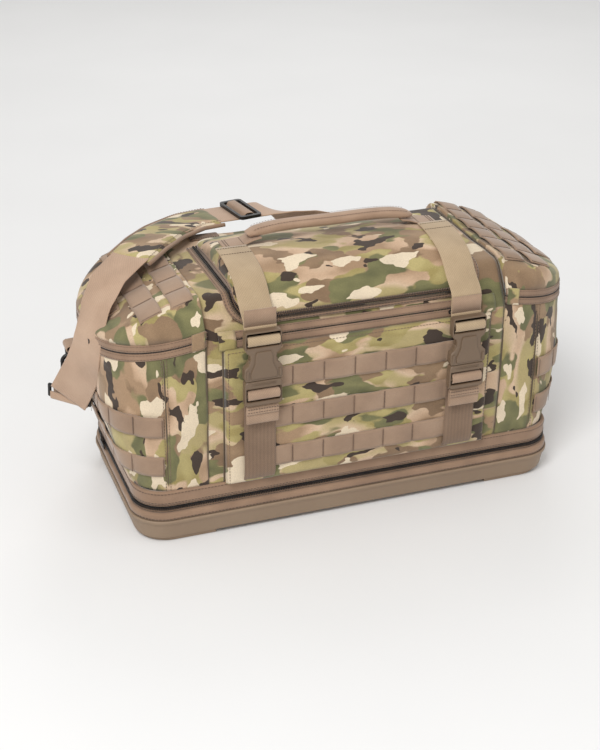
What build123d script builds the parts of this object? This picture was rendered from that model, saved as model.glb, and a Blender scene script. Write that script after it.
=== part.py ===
"""Hard-based duffel bag: a moulded tray, a zipped fabric body with a hinged lid, two end
pockets, compression straps with side-release buckles, a carry handle and a shoulder strap.

X runs along the bag, Y from front to back and Z up from the surface it stands on.
"""
import os
from math import cos, radians, sin

from build123d import *

os.makedirs("parts", exist_ok=True)

# ---- driving dimensions, millimetres ----
GAP = 0.4                 # clearance between pieces on different bodies
WEB = 1.8                 # thickness of one layer of webbing
WALL = 4.0                # padded fabric wall

TRAY_L, TRAY_W, TRAY_R = 544.0, 254.0, 42.0
TRAY_TOP = 31.0           # rim of the moulded tray
FOOT_H = 5.0              # height of the corner feet under the tray
FOOT_X, FOOT_Y = 176.0, 66.0   # inner limits of the corner feet
TRAY_WALL = 3.0

ZIP_L, ZIP_W, ZIP_R = 534.0, 243.0, 38.0   # plan outline of the base zipper
BASE_ZIP_Z = 46.0         # height of the base zipper's teeth
SKIRT_Z = 51.0            # top of the base zipper's upper tape
BODY_Z = 67.0             # bottom seam of the fabric body
BASE_AXIS_Y = 123.0       # back edge, about which the base compartment opens
HINGE_HALF = 250.0        # half length of the fabric hinge at the back
BINDING_H = 10.0          # fabric binding round the tray
TAPE, COIL = 1.6, 2.6     # zipper tape thickness and tooth coil size
ZIPPER_HALF = 9.5         # half width of a pocket zipper's two tapes

HALF_MAIN = 184.0         # half length of the main compartment
BODY_L, BODY_W = 590.0, 246.0   # greatest outline of the fabric body
SHOULDER_Z = 225.0        # height of the greatest outline
TOP_Z = 292.0             # flat top beside the lid
EAVE_Z, EAVE_Y = 238.0, 86.0    # where the front and back walls start to round over
CORNER_Y, CORNER_Z = 110.5, 268.0    # middle of that rounding

LID_HALF = 145.0
LID_FRONT_Y, LID_FRONT_Z = -112.0, 270.0    # lid zipper on the front
LID_TOP_Z = 321.0
LID_LIFT = 2.2            # height of the lid's underside over the body
STRAP_BACK_Y = -32.0      # rear end of the straps on the lid
LID_AXIS_Y, LID_AXIS_Z = 64.0, 294.5

CAP_RISE = 10.0           # height of the end caps over the middle
END_ZIP_IN, END_ZIP_OUT = 256.0, 232.0     # end zipper height, by the lid and at the end

POCKET_HALF = 165.0
POCKET_TOP, POCKET_DEPTH = 240.0, 7.0

STRAP_X, STRAP_W = 126.0, 38.1
PALS_H, PALS_PITCH = 25.4, 50.8
PALS_TOP = 213.0          # top edge of the highest front row
PALS_HALF = 141.0         # half length of the front rows
END_ROW_TOPS = (165.0, 114.0)    # top edges of the rows round the ends
CAP_STRIP_X = (204.0, 238.0, 271.0)
CAP_STRIP_HALF = 88.0

BUCKLE_W, BUCKLE_T = 45.0, 12.0
BUCKLE_TOPS = {-1: 268.0, 1: 248.0}        # top of each female buckle
FEMALE_H, MALE_H, PRONG = 60.0, 31.0, 26.0
STRAP_Y = -134.0          # inner face of the straps where they hang down the front
BUCKLE_Y = -138.5         # inner face of the buckles

GRIP_Z, GRIP_Y, GRIP_HALF = 335.0, -18.0, 82.0
GRIP_END = 104.0          # where the handle is sewn to the lid
GRIP_W, GRIP_T = 22.0, 11.0

RING_X, RING_Y, RING_Z = 313.0, 8.0, 208.0    # pivot of the D-rings
STRAP_WIDE = 50.0         # shoulder strap webbing
WIRE = 2.2                # radius of the ring wire
TAB_HALF = 11.0
D_HALF, D_DEPTH = 15.0, 18.0
HOOK_WIRE, EYE_R, EYE_TOP, EYE_STRAIGHT = 2.4, 8.0, 11.5, 16.0
STEM_R = 2.2
END_SLIDER_Z = 234.0
RING_LEAN = 0.05          # the rings lean out from the bag by this slope
# angle from straight down at which each hook hangs, and the turn of its strap ring
HOOK_SWING = {-1: 0, 1: 53}
RING_TURN = {-1: 45, 1: -35}

# shoulder strap: points along its middle and the direction of its width at each
STRAP_ROUTE = [
    ((-319.5, 4.5, 141), (0.7, -0.7, 0)),
    ((-322, -2, 163), (0.7, -0.7, 0)),
    ((-323, -8, 190), (0.65, -0.76, 0)),
    ((-320, -18, 212), (0.45, -0.89, 0)),
    ((-309, -24, 237), (0.3, -0.95, 0)),
    ((-292, -21, 271), (0.4, -0.9, 0.1)),
    ((-264, -4, 293), (0.5, -0.85, 0)),
    ((-236, 14, 306), (0.55, -0.83, 0)),
    ((-206, 46, 310), (0.6, -0.8, 0)),
    ((-175, 81, 308), (0.6, -0.8, 0)),
    ((-135, 114, 304), (0.5, -0.86, 0)),
    ((-100, 122.5, 303), (0.25, -0.97, 0)),
    ((-30, 127, 303), (0.17, -0.98, 0)),
    ((-4, 133, 291), (0.35, -0.9, 0.4)),
    ((24, 139, 274), (0.3, -0.5, 0.8)),
    ((70, 141, 252), (0.25, 0, 0.97)),
    ((130, 141, 232), (0.2, 0, 0.98)),
    ((190, 141, 216), (0.15, 0, 0.99)),
    ((240, 131, 205), (0.05, 0, 1)),
    ((284, 97, 190), (0, 0.2, 1)),
    ((304, 80, 178), (0.3, 0.35, 0.9)),
    ((313, 71, 172), (0.57, 0.49, 0.65)),
]
PAD_FIRST, PAD_LAST = 7, 12
PAD_W, PAD_T, PAD_DROP = 56.0, 7.0, 5.4
GLIDE_AT, GLIDE_ACROSS = (-65, 124.75, 304.3), (0.17, -0.985, 0)
GLIDE_T = 4.0


half_gap = GAP / 2
front_y = -BODY_W / 2 - 1.5


def rounded_ring(length, width, radius, thickness, z):
    """A band that follows a rounded rectangle, with the given outside size."""
    with BuildSketch(Plane.XY.offset(z)) as ring:
        RectangleRounded(length, width, radius)
        RectangleRounded(length - 2 * thickness, width - 2 * thickness, radius - thickness,
                         mode=Mode.SUBTRACT)
    return ring.sketch


def rounded_rectangle(length, width, radius, z):
    """A rounded rectangle centred on the Z axis."""
    with BuildSketch(Plane.XY.offset(z)) as outline:
        RectangleRounded(length, width, radius)
    return outline.sketch


def block(x_range, y_range, z_range, mode=Mode.ADD):
    """A box between the given limits."""
    size = [high - low for low, high in (x_range, y_range, z_range)]
    centre = [(high + low) / 2 for low, high in (x_range, y_range, z_range)]
    with Locations(tuple(centre)):
        Box(*size, mode=mode)


def envelope(inset=0.0):
    """The swelling outline of the whole fabric body, drawn in by inset."""
    grow = -2 * inset
    with BuildPart() as swelling:
        loft(sections=[
            rounded_rectangle(536 + grow, 240 + grow, 48 - inset, BODY_Z + inset),
            rounded_rectangle(574 + grow, BODY_W - 1 + grow, 70 - inset, 135),
            rounded_rectangle(BODY_L + grow, BODY_W + grow, 92 - inset, SHOULDER_Z),
            rounded_rectangle(BODY_L - 12 + grow, BODY_W + grow, 92 - inset, TOP_Z + 30),
        ])
    return swelling.part


def main_section(grow=0.0):
    """Front-to-back section of the body's middle, grown by grow."""
    half, top, slant = BODY_W / 2 + 1.5 + grow, TOP_Z + grow, 0.7 * grow
    with BuildSketch(Plane.YZ) as section:
        with BuildLine():
            rise = Spline((-half, EAVE_Z), (-CORNER_Y - slant, CORNER_Z + slant), (-EAVE_Y, top),
                          tangents=((0, 1), (1, 0)))
            Line(rise @ 1, (EAVE_Y, top))
            fall = Spline((EAVE_Y, top), (CORNER_Y + slant, CORNER_Z + slant), (half, EAVE_Z),
                          tangents=((1, 0), (0, -1)))
            Polyline(fall @ 1, (half, 40), (-half, 40), rise @ 0)
        make_face()
    return section.sketch


def lid_section(grow=0.0):
    """Front-to-back section of the arched lid, down past the body's top, grown by grow."""
    front, back = LID_FRONT_Y - 4.5 - grow, LID_AXIS_Y - 0.5 + min(grow, 0)
    with BuildSketch(Plane.YZ) as section:
        with BuildLine():
            arch = Spline((front, LID_FRONT_Z + half_gap), (-98 - 0.7 * grow, 303 + 0.7 * grow),
                          (-28, LID_TOP_Z + grow), (back, LID_AXIS_Z + 5 + grow),
                          tangents=((0.05, 1), (1, -0.25)))
            Polyline(arch @ 1, (back, 230), (front, 230), arch @ 0)
        make_face()
    return section.sketch


def rounding(grow):
    """The body's middle section, grown and run out past both ends."""
    with BuildPart() as run:
        extrude(main_section(grow), amount=BODY_L, both=True)
    return run.part


def lid_outline(grow, z):
    """Plan outline of the lid, grown by grow."""
    front, back = LID_FRONT_Y - 8 - grow, LID_AXIS_Y - 0.5 + grow
    with BuildSketch(Plane.XY.offset(z)) as outline:
        with Locations((0, (front + back) / 2)):
            RectangleRounded(2 * (LID_HALF + grow), back - front, 22 + grow)
    return outline.sketch


def skin(inner, outer, half_length):
    """A sheet that follows the body's middle section, between two offsets from it."""
    with BuildPart() as sheet:
        extrude(main_section(outer), amount=half_length, both=True)
        extrude(main_section(inner), amount=half_length + 1, both=True, mode=Mode.SUBTRACT)
    return sheet.part


def columns(x_ranges):
    """Upright blocks, one over each range of X."""
    with BuildPart() as blocks:
        for x_range in x_ranges:
            block(x_range, (-200, 200), (0, 400))
    return blocks.part


def band_round(outer, inner, x_range, z_range):
    """The layer between two solids, within the given limits."""
    with BuildPart() as band:
        add(outer)
        add(inner, mode=Mode.SUBTRACT)
        block(x_range, (-200, 200), z_range, Mode.INTERSECT)
    return band.part


def hanging_strap(x, width, points, low_z):
    """A flat strap along points drawn in the YZ plane at x, then straight down to low_z."""
    with BuildPart() as strap:
        with BuildSketch(Plane.YZ.offset(x)):
            with BuildLine():
                over = Spline(*points, tangents=((-1, 0), (0, -1)))
                Line(over @ 1, (points[-1][0], low_z))
            trace(line_width=WEB)
        extrude(amount=width / 2, both=True)
    return strap.part


def ribbon(stations, width, thickness):
    """A flat strap through stations, each a point and the direction of its width."""
    sections = []
    for index, (point, across) in enumerate(stations):
        ahead = Vector(*stations[min(index + 1, len(stations) - 1)][0])
        behind = Vector(*stations[max(index - 1, 0)][0])
        along = (ahead - behind).normalized()
        with BuildSketch(Plane(point, x_dir=across, z_dir=along)) as section:
            Rectangle(width, thickness)
        sections.append(section.sketch)
    with BuildPart() as strap:
        loft(sections=sections, ruled=True)
    return strap.part


def cap_top(side, drop=0.0):
    """Everything above the sloping top of an end pocket."""
    with BuildSketch(Plane.XZ) as above:
        with BuildLine():
            slope = Spline((side * 180, TOP_Z + CAP_RISE - drop), (side * 237, 280 - drop),
                           (side * 275, 263 - drop), (side * 297, 244 - drop),
                           (side * 305, 215 - drop))
            Polyline(slope @ 1, (side * 360, 215 - drop), (side * 360, 400), (side * 180, 400),
                     slope @ 0)
        make_face()
    return above.sketch


def zipper_side(side, shift, above):
    """Everything above or below an end pocket's slanting zipper line, moved up by shift."""
    inner, outer = END_ZIP_IN + shift, END_ZIP_OUT + shift
    edge = 400 if above else 0
    with BuildSketch(Plane.XZ) as half_space:
        with BuildLine():
            Polyline((side * 150, inner + 12), (side * HALF_MAIN, inner), (side * 300, outer),
                     (side * 360, outer - 20), (side * 360, edge), (side * 150, edge), close=True)
        make_face()
    return half_space.sketch


# ---- base: moulded tray, foam liner and binding ----
with BuildPart() as base_tray:
    loft(sections=[rounded_rectangle(TRAY_L - shrink, TRAY_W - shrink, TRAY_R, z)
                   for z, shrink in ((FOOT_H, 12), (TRAY_TOP - 6, 1), (TRAY_TOP, 0))], ruled=True)
    loft(sections=[rounded_rectangle(TRAY_L - shrink, TRAY_W - shrink, TRAY_R - TRAY_WALL, z)
                   for z, shrink in ((FOOT_H + TRAY_WALL, 18), (TRAY_TOP, 6))],
         ruled=True, mode=Mode.SUBTRACT)
    with BuildSketch(Plane.XY):
        RectangleRounded(TRAY_L - 16, TRAY_W - 16, TRAY_R - 4)
        Rectangle(2 * FOOT_X, TRAY_W, mode=Mode.SUBTRACT)
        Rectangle(TRAY_L, 2 * FOOT_Y, mode=Mode.SUBTRACT)
    extrude(amount=FOOT_H)
base_tray.part.label = "base_tray"
export_step(base_tray.part, "parts/base_tray.step")

with BuildPart() as tray_liner:
    extrude(rounded_rectangle(TRAY_L - 24, TRAY_W - 24, TRAY_R - 8, FOOT_H + TRAY_WALL), amount=4)
tray_liner.part.label = "tray_liner"
export_step(tray_liner.part, "parts/tray_liner.step")

with BuildPart() as tray_binding:
    extrude(rounded_ring(TRAY_L - 2, TRAY_W - 2, TRAY_R - 1, 7, TRAY_TOP), amount=BINDING_H)
tray_binding.part.label = "tray_binding"
export_step(tray_binding.part, "parts/tray_binding.step")

tape_z = TRAY_TOP + BINDING_H
for name, z_low, z_high, coil_z in (
    ("base_zipper_lower", tape_z, BASE_ZIP_Z - half_gap, BASE_ZIP_Z - half_gap - COIL),
    ("base_zipper_upper", BASE_ZIP_Z + half_gap, SKIRT_Z, BASE_ZIP_Z + half_gap),
):
    with BuildPart() as base_zipper:
        extrude(rounded_ring(ZIP_L, ZIP_W, ZIP_R, TAPE, z_low), amount=z_high - z_low)
        extrude(rounded_ring(ZIP_L + COIL, ZIP_W + COIL, ZIP_R + COIL / 2, COIL, coil_z),
                amount=COIL)
        block((-HINGE_HALF, HINGE_HALF), (BASE_AXIS_Y - 8, BASE_AXIS_Y + 8), (tape_z, SKIRT_Z),
              Mode.SUBTRACT)
    base_zipper.part.label = name
    export_step(base_zipper.part, f"parts/{name}.step")

with BuildPart() as base_hinge_strip:
    block((-HINGE_HALF + 2, HINGE_HALF - 2), (BASE_AXIS_Y - 3, BASE_AXIS_Y - 1.6),
          (tape_z, SKIRT_Z))
base_hinge_strip.part.label = "base_hinge_strip"
export_step(base_hinge_strip.part, "parts/base_hinge_strip.step")

# ---- upper bag: skirt, floor board and fabric body ----
with BuildPart() as skirt_band:
    extrude(rounded_ring(ZIP_L + 1, ZIP_W + 1, ZIP_R, 3, SKIRT_Z), amount=BODY_Z - SKIRT_Z)
skirt_band.part.label = "skirt_band"
export_step(skirt_band.part, "parts/skirt_band.step")

with BuildPart() as floor_board:
    block((-HALF_MAIN + 8, HALF_MAIN - 8), (-112, 112), (BODY_Z + WALL, BODY_Z + WALL + 4))
floor_board.part.label = "floor_board"
export_step(floor_board.part, "parts/floor_board.step")

with BuildPart() as main_room:
    extrude(main_section(-WALL), amount=HALF_MAIN - WALL, both=True)
    add(envelope(WALL), mode=Mode.INTERSECT)

with BuildPart() as main_shell:
    extrude(main_section(), amount=HALF_MAIN, both=True)
    add(envelope(), mode=Mode.INTERSECT)
    add(main_room.part, mode=Mode.SUBTRACT)
    with BuildSketch(Plane.XY.offset(255)):
        with Locations((0, (LID_AXIS_Y - 8 + LID_FRONT_Y + 1) / 2)):
            RectangleRounded(2 * LID_HALF - 12, LID_AXIS_Y - 8 - LID_FRONT_Y - 1, 20)
    extrude(amount=80, mode=Mode.SUBTRACT)
main_shell.part.label = "main_shell"
export_step(main_shell.part, "parts/main_shell.step")

foam_y = BODY_W / 2 - WALL - 4
with BuildPart() as wall_foam:
    for side in (-1, 1):
        block((-HALF_MAIN + 12, HALF_MAIN - 12), sorted((side * foam_y, side * (foam_y - 3))),
              (BODY_Z + 9, 228))
wall_foam.part.label = "wall_foam"
export_step(wall_foam.part, "parts/wall_foam.step")

# ---- end pockets, their zippers and caps ----
for side, name in ((-1, "left"), (1, "right")):
    outside = sorted((side * (HALF_MAIN + 0.02), side * 340))
    with BuildPart() as pocket_room:
        add(envelope(WALL))
        block(sorted((side * (HALF_MAIN + 2), side * 340)), (-200, 200), (BODY_Z + WALL, 400),
              Mode.INTERSECT)
    with BuildPart() as end_pocket:
        add(envelope())
        block(outside, (-200, 200), (0, 400), Mode.INTERSECT)
        extrude(zipper_side(side, -ZIPPER_HALF, above=True), amount=200, both=True,
                mode=Mode.SUBTRACT)
        add(pocket_room.part, mode=Mode.SUBTRACT)
    end_pocket.part.label = f"{name}_end_pocket"
    export_step(end_pocket.part, f"parts/{name}_end_pocket.step")

    for level, low, high in (("lower", -ZIPPER_HALF, -half_gap), ("upper", half_gap, ZIPPER_HALF)):
        with BuildPart() as end_zipper:
            add(envelope(0.5))
            block(sorted((side * (HALF_MAIN + 1), side * 340)), (-200, 200), (0, 400),
                  Mode.INTERSECT)
            extrude(zipper_side(side, high, above=True), amount=200, both=True,
                    mode=Mode.SUBTRACT)
            extrude(zipper_side(side, low, above=False), amount=200, both=True,
                    mode=Mode.SUBTRACT)
            add(envelope(2.5), mode=Mode.SUBTRACT)
        end_zipper.part.label = f"{name}_end_zipper_{level}"
        export_step(end_zipper.part, f"parts/{name}_end_zipper_{level}.step")

    with BuildPart() as cap_room:
        add(envelope(WALL))
        block(sorted((side * (HALF_MAIN - 5), side * 340)), (-200, 200), (0, 400), Mode.INTERSECT)
        extrude(cap_top(side, drop=WALL), amount=200, both=True, mode=Mode.SUBTRACT)
        add(rounding(CAP_RISE - WALL), mode=Mode.INTERSECT)
    with BuildPart() as end_cap:
        add(envelope())
        block(sorted((side * (HALF_MAIN + 1), side * 340)), (-200, 200), (0, 400),
              Mode.INTERSECT)
        extrude(zipper_side(side, ZIPPER_HALF, above=False), amount=200, both=True,
                mode=Mode.SUBTRACT)
        extrude(cap_top(side), amount=200, both=True, mode=Mode.SUBTRACT)
        add(rounding(CAP_RISE), mode=Mode.INTERSECT)
        add(cap_room.part, mode=Mode.SUBTRACT)
    end_cap.part.label = f"{name}_end_cap"
    export_step(end_cap.part, f"parts/{name}_end_cap.step")

# ---- front pocket, its zipper and the webbing rows on it ----
with BuildPart() as front_pocket:
    with BuildSketch(Plane.XZ.offset(-front_y)):
        with Locations((0, (BODY_Z + POCKET_TOP) / 2)):
            RectangleRounded(2 * POCKET_HALF, POCKET_TOP - BODY_Z, 6)
    extrude(amount=POCKET_DEPTH)
    fillet(front_pocket.faces().sort_by(Axis.Y)[0].edges(), radius=5)
front_pocket.part.label = "front_pocket"
export_step(front_pocket.part, "parts/front_pocket.step")

with BuildPart() as front_pocket_zipper:
    add(skin(0.02, 2.4, POCKET_HALF))
    block((-POCKET_HALF, POCKET_HALF), (-200, -60), (POCKET_TOP, POCKET_TOP + 2 * ZIPPER_HALF),
          Mode.INTERSECT)
front_pocket_zipper.part.label = "front_pocket_zipper"
export_step(front_pocket_zipper.part, "parts/front_pocket_zipper.step")

pocket_face = front_y - POCKET_DEPTH
with BuildPart() as front_rows:
    for row in range(3):
        top = PALS_TOP - row * PALS_PITCH
        block((-PALS_HALF, PALS_HALF), (pocket_face - WEB, pocket_face), (top - PALS_H, top))
front_rows.part.label = "front_rows"
export_step(front_rows.part, "parts/front_rows.step")

# ---- webbing rows round the end pockets and over the caps ----
for side, name in ((-1, "left"), (1, "right")):
    wrap = sorted((side * 236, side * 340))
    with BuildPart() as end_rows:
        for top in END_ROW_TOPS:
            add(band_round(envelope(-WEB), envelope(-0.02), wrap, (top - PALS_H, top)))
    end_rows.part.label = f"{name}_end_rows"
    export_step(end_rows.part, f"parts/{name}_end_rows.step")

    with BuildPart() as cap_skin:
        extrude(cap_top(side, drop=-WEB), amount=200, both=True)
    with BuildPart() as cap_strips:
        extrude(cap_top(side, drop=-0.02), amount=CAP_STRIP_HALF, both=True)
        add(cap_skin.part, mode=Mode.SUBTRACT)
        strips = [(side * x - PALS_H / 2, side * x + PALS_H / 2) for x in CAP_STRIP_X]
        add(columns(strips), mode=Mode.INTERSECT)
        add(envelope(3), mode=Mode.INTERSECT)
    cap_strips.part.label = f"{name}_cap_strips"
    export_step(cap_strips.part, f"parts/{name}_cap_strips.step")

# ---- lid, its zipper, straps and the strap halves on the body ----
with BuildPart() as lid_room:
    extrude(lid_section(-WALL), amount=LID_HALF, both=True)
    extrude(lid_outline(-WALL, 200), amount=200, mode=Mode.INTERSECT)
with BuildPart() as lid_panel:
    extrude(lid_section(), amount=LID_HALF, both=True)
    extrude(lid_outline(0, 200), amount=200, mode=Mode.INTERSECT)
    extrude(main_section(LID_LIFT), amount=HALF_MAIN, both=True, mode=Mode.SUBTRACT)
    block((-200, 200), (-200, 200), (0, LID_FRONT_Z + half_gap), Mode.SUBTRACT)
    add(lid_room.part, mode=Mode.SUBTRACT)
lid_panel.part.label = "lid_panel"
export_step(lid_panel.part, "parts/lid_panel.step")

with BuildPart() as lid_zipper_upper:
    add(skin(0.4, LID_LIFT - 0.02, LID_HALF))
    extrude(lid_outline(-1, 200), amount=200, mode=Mode.INTERSECT)
    extrude(lid_outline(-11, 200), amount=200, mode=Mode.SUBTRACT)
    block((-200, 200), (-200, LID_AXIS_Y - 14), (LID_FRONT_Z + half_gap, 400), Mode.INTERSECT)
lid_zipper_upper.part.label = "lid_zipper_upper"
export_step(lid_zipper_upper.part, "parts/lid_zipper_upper.step")

with BuildPart() as lid_zipper_lower:
    add(skin(0.02, TAPE, LID_HALF + 12))
    extrude(lid_outline(12, 200), amount=200, mode=Mode.INTERSECT)
    with BuildPart(mode=Mode.PRIVATE) as inside_zipper:
        extrude(lid_outline(0.6, LID_FRONT_Z - half_gap), amount=200)
    add(inside_zipper.part, mode=Mode.SUBTRACT)
    block((-200, 200), (-200, LID_AXIS_Y - 14), (LID_FRONT_Z - ZIPPER_HALF, 400),
          Mode.INTERSECT)
lid_zipper_lower.part.label = "lid_zipper_lower"
export_step(lid_zipper_lower.part, "parts/lid_zipper_lower.step")

for side, name in ((-1, "left"), (1, "right")):
    female_top = BUCKLE_TOPS[side]
    male_low = female_top - FEMALE_H - MALE_H
    over_lid = [(STRAP_BACK_Y, LID_TOP_Z + 2), (-70, 319), (-101.5, 306), (-121, 286),
                (STRAP_Y - 1.5, LID_FRONT_Z)]
    upper_strap = hanging_strap(side * STRAP_X, STRAP_W, over_lid, female_top - 22)
    upper_strap.label = f"{name}_upper_strap"
    export_step(upper_strap, f"parts/{name}_upper_strap.step")

    with BuildPart() as lower_strap:
        block((side * STRAP_X - STRAP_W / 2, side * STRAP_X + STRAP_W / 2),
              (STRAP_Y - WEB, STRAP_Y), (BODY_Z + 2, male_low + 12))
    lower_strap.part.label = f"{name}_lower_strap"
    export_step(lower_strap.part, f"parts/{name}_lower_strap.step")

    with BuildPart() as back_strap:
        add(skin(0.02, WEB, HALF_MAIN))
        block((side * STRAP_X - STRAP_W / 2, side * STRAP_X + STRAP_W / 2), (72, 200),
              (BODY_Z + 4, 400), Mode.INTERSECT)
    back_strap.part.label = f"{name}_back_strap"
    export_step(back_strap.part, f"parts/{name}_back_strap.step")

    face_plane = Plane((side * STRAP_X, BUCKLE_Y, female_top), x_dir=(1, 0, 0), z_dir=(0, -1, 0))
    with BuildPart() as female_buckle:
        with BuildSketch(face_plane):
            with BuildLine():
                half = BUCKLE_W / 2
                Polyline((0, 0), (half - 2, 0), (half - 1, -22), (half - 7, -27),
                         (half - 7, -38), (half, -44), (half, -FEMALE_H), (0, -FEMALE_H))
                mirror(about=Plane.YZ)
            make_face()
            for slot_y in (-6, -16):
                with Locations((0, slot_y)):
                    Rectangle(STRAP_W + 0.6, 5.5, mode=Mode.SUBTRACT)
        extrude(amount=BUCKLE_T)
        fillet(female_buckle.faces().sort_by(Axis.Y)[0].outer_wire().edges(), radius=1.2)
        block((side * STRAP_X - 17.5, side * STRAP_X + 17.5), (BUCKLE_Y - 9.5, BUCKLE_Y - 2.5),
              (female_top - FEMALE_H - 1, female_top - FEMALE_H + PRONG + 3), Mode.SUBTRACT)
    female_buckle.part.label = f"{name}_female_buckle"
    export_step(female_buckle.part, f"parts/{name}_female_buckle.step")

    male_top = female_top - FEMALE_H - GAP
    with BuildPart() as male_buckle:
        with BuildSketch(Plane(face_plane.origin + Vector(0, 0, -FEMALE_H - GAP),
                               x_dir=(1, 0, 0), z_dir=(0, -1, 0))):
            with Locations((0, -MALE_H / 2)):
                RectangleRounded(BUCKLE_W - 1, MALE_H, 4)
            for slot_y in (-12, -23):
                with Locations((0, slot_y)):
                    Rectangle(STRAP_W + 0.6, 5.5, mode=Mode.SUBTRACT)
        extrude(amount=BUCKLE_T - 1)
        for x, width in ((0, 5), (-13, 6), (13, 6)):
            block((side * STRAP_X + x - width / 2, side * STRAP_X + x + width / 2),
                  (BUCKLE_Y - 9, BUCKLE_Y - 3), (male_top - 2, male_top + PRONG))
    male_buckle.part.label = f"{name}_male_buckle"
    export_step(male_buckle.part, f"parts/{name}_male_buckle.step")

    with BuildPart() as strap_tail:
        with BuildSketch(Plane.YZ.offset(side * STRAP_X)):
            with Locations((BUCKLE_Y - 4.5, male_low - 10.5)):
                RectangleRounded(5, 20, 2.2)
        extrude(amount=STRAP_W / 2, both=True)
    strap_tail.part.label = f"{name}_strap_tail"
    export_step(strap_tail.part, f"parts/{name}_strap_tail.step")

# ---- carry handle: padded grip round a stiff core, ends sewn to the lid ----
with BuildPart() as handle_core:
    with BuildSketch(Plane.XZ.offset(-GRIP_Y - 6)):
        with BuildLine():
            Spline((-GRIP_HALF, GRIP_Z), (0, GRIP_Z + 2), (GRIP_HALF, GRIP_Z))
        trace(line_width=4)
    extrude(amount=12)
handle_core.part.label = "handle_core"
export_step(handle_core.part, "parts/handle_core.step")

with BuildPart() as carry_handle:
    with BuildSketch(Plane.XZ.offset(-GRIP_Y - GRIP_W / 2)):
        with BuildLine():
            Spline((-GRIP_END, GRIP_Z - 5), (-GRIP_HALF, GRIP_Z), (0, GRIP_Z + 2),
                   (GRIP_HALF, GRIP_Z), (GRIP_END, GRIP_Z - 5))
        trace(line_width=GRIP_T)
    extrude(amount=GRIP_W)
    along_y = carry_handle.faces().sort_by(Axis.Y)
    fillet(along_y[0].edges() + along_y[-1].edges(), radius=4)
    add(handle_core.part, mode=Mode.SUBTRACT)
carry_handle.part.label = "carry_handle"
export_step(carry_handle.part, "parts/carry_handle.step")

# ---- shoulder strap, its pad and the adjuster on it ----
with BuildPart() as tab_bore:
    for side in (-1, 1):
        with Locations(Location((side * RING_X, RING_Y, RING_Z), (90, 0, 0))):
            Cylinder(WIRE + 0.3, 2 * TAB_HALF + 2)
with BuildPart() as ring_tabs:
    with BuildSketch(Plane.XZ.offset(-RING_Y - TAB_HALF)):
        for side in (-1, 1):
            with Locations((side * (BODY_L / 2 + 0.3 + (RING_X + 4.2 - BODY_L / 2) / 2), RING_Z)):
                RectangleRounded(RING_X + 4.2 - BODY_L / 2, 8.4, 4)
    extrude(amount=2 * TAB_HALF)
    add(tab_bore.part, mode=Mode.SUBTRACT)
ring_tabs.part.label = "ring_tabs"
export_step(ring_tabs.part, "parts/ring_tabs.step")

shoulder_strap = ribbon(STRAP_ROUTE, STRAP_WIDE, WEB)
shoulder_strap.label = "shoulder_strap"
export_step(shoulder_strap, "parts/shoulder_strap.step")

pad_route = [((x, y, z - PAD_DROP), across) for (x, y, z), across in STRAP_ROUTE[PAD_FIRST:PAD_LAST]]
shoulder_pad = ribbon(pad_route, PAD_W, PAD_T)
shoulder_pad.label = "shoulder_pad"
export_step(shoulder_pad, "parts/shoulder_pad.step")

glide_plane = Plane(GLIDE_AT, x_dir=GLIDE_ACROSS, z_dir=(0, 0, 1))
with BuildPart() as tri_glide:
    with BuildSketch(glide_plane):
        RectangleRounded(STRAP_WIDE + 12, 30, 5)
        with Locations((0, 7.2), (0, -7.2)):
            RectangleRounded(STRAP_WIDE + 2, 8, 2, mode=Mode.SUBTRACT)
    extrude(amount=GLIDE_T)
tri_glide.part.label = "tri_glide"
export_step(tri_glide.part, "parts/tri_glide.step")

# ---- rings and swivel hooks that hold the shoulder strap ----
with BuildPart() as d_ring_shape:
    with BuildLine() as bow_line:
        ThreePointArc((0, -D_HALF, 0), (0, 0, -D_DEPTH), (0, D_HALF, 0))
    with BuildSketch(Plane(bow_line.line @ 0, z_dir=bow_line.line % 0)):
        Circle(WIRE)
    sweep()
    with Locations(Location((0, 0, 0), (90, 0, 0))):
        Cylinder(WIRE, 2 * D_HALF)
    with Locations((0, -D_HALF, 0), (0, D_HALF, 0)):
        Sphere(WIRE)

hook_low = -(EYE_TOP + 2 * EYE_R + EYE_STRAIGHT)
with BuildPart() as hook_shape:
    with BuildLine() as hook_line:
        over = ThreePointArc((EYE_R, 0, -EYE_TOP - EYE_R), (0, 0, -EYE_TOP),
                             (-EYE_R, 0, -EYE_TOP - EYE_R))
        down = Line(over @ 1, (-EYE_R, 0, hook_low + EYE_R))
        ThreePointArc(down @ 1, (0, 0, hook_low), (EYE_R, 0, hook_low + EYE_R))
    with BuildSketch(Plane(hook_line.line @ 0, z_dir=hook_line.line % 0)):
        Circle(HOOK_WIRE)
    sweep()
    with Locations((0, 0, hook_low - 4)):
        Cylinder(5.4, 10)
    with Locations((0, 0, hook_low - 6)):
        Cylinder(STEM_R + 0.08, 8, mode=Mode.SUBTRACT)

with BuildPart() as gate_shape:
    with Locations((EYE_R, 0, -EYE_TOP - EYE_R - EYE_STRAIGHT / 2)):
        Cylinder(HOOK_WIRE - 0.4, EYE_STRAIGHT - 1.2)

ring_high = hook_low - 14
with BuildPart() as strap_ring_shape:
    with Locations((0, 0, ring_high), (0, 0, ring_high - 13)):
        with Locations(Location((0, 0, 0), (90, 0, 0))):
            Cylinder(WIRE, STRAP_WIDE + 6)
    for end in (-1, 1):
        with Locations((0, end * (STRAP_WIDE / 2 + 3), ring_high - 6.5)):
            Cylinder(WIRE, 13)
        with Locations((0, end * (STRAP_WIDE / 2 + 3), ring_high),
                       (0, end * (STRAP_WIDE / 2 + 3), ring_high - 13)):
            Sphere(WIRE)
    with Locations((0, 0, ring_high + 6)):
        Cylinder(STEM_R, 12)

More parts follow.
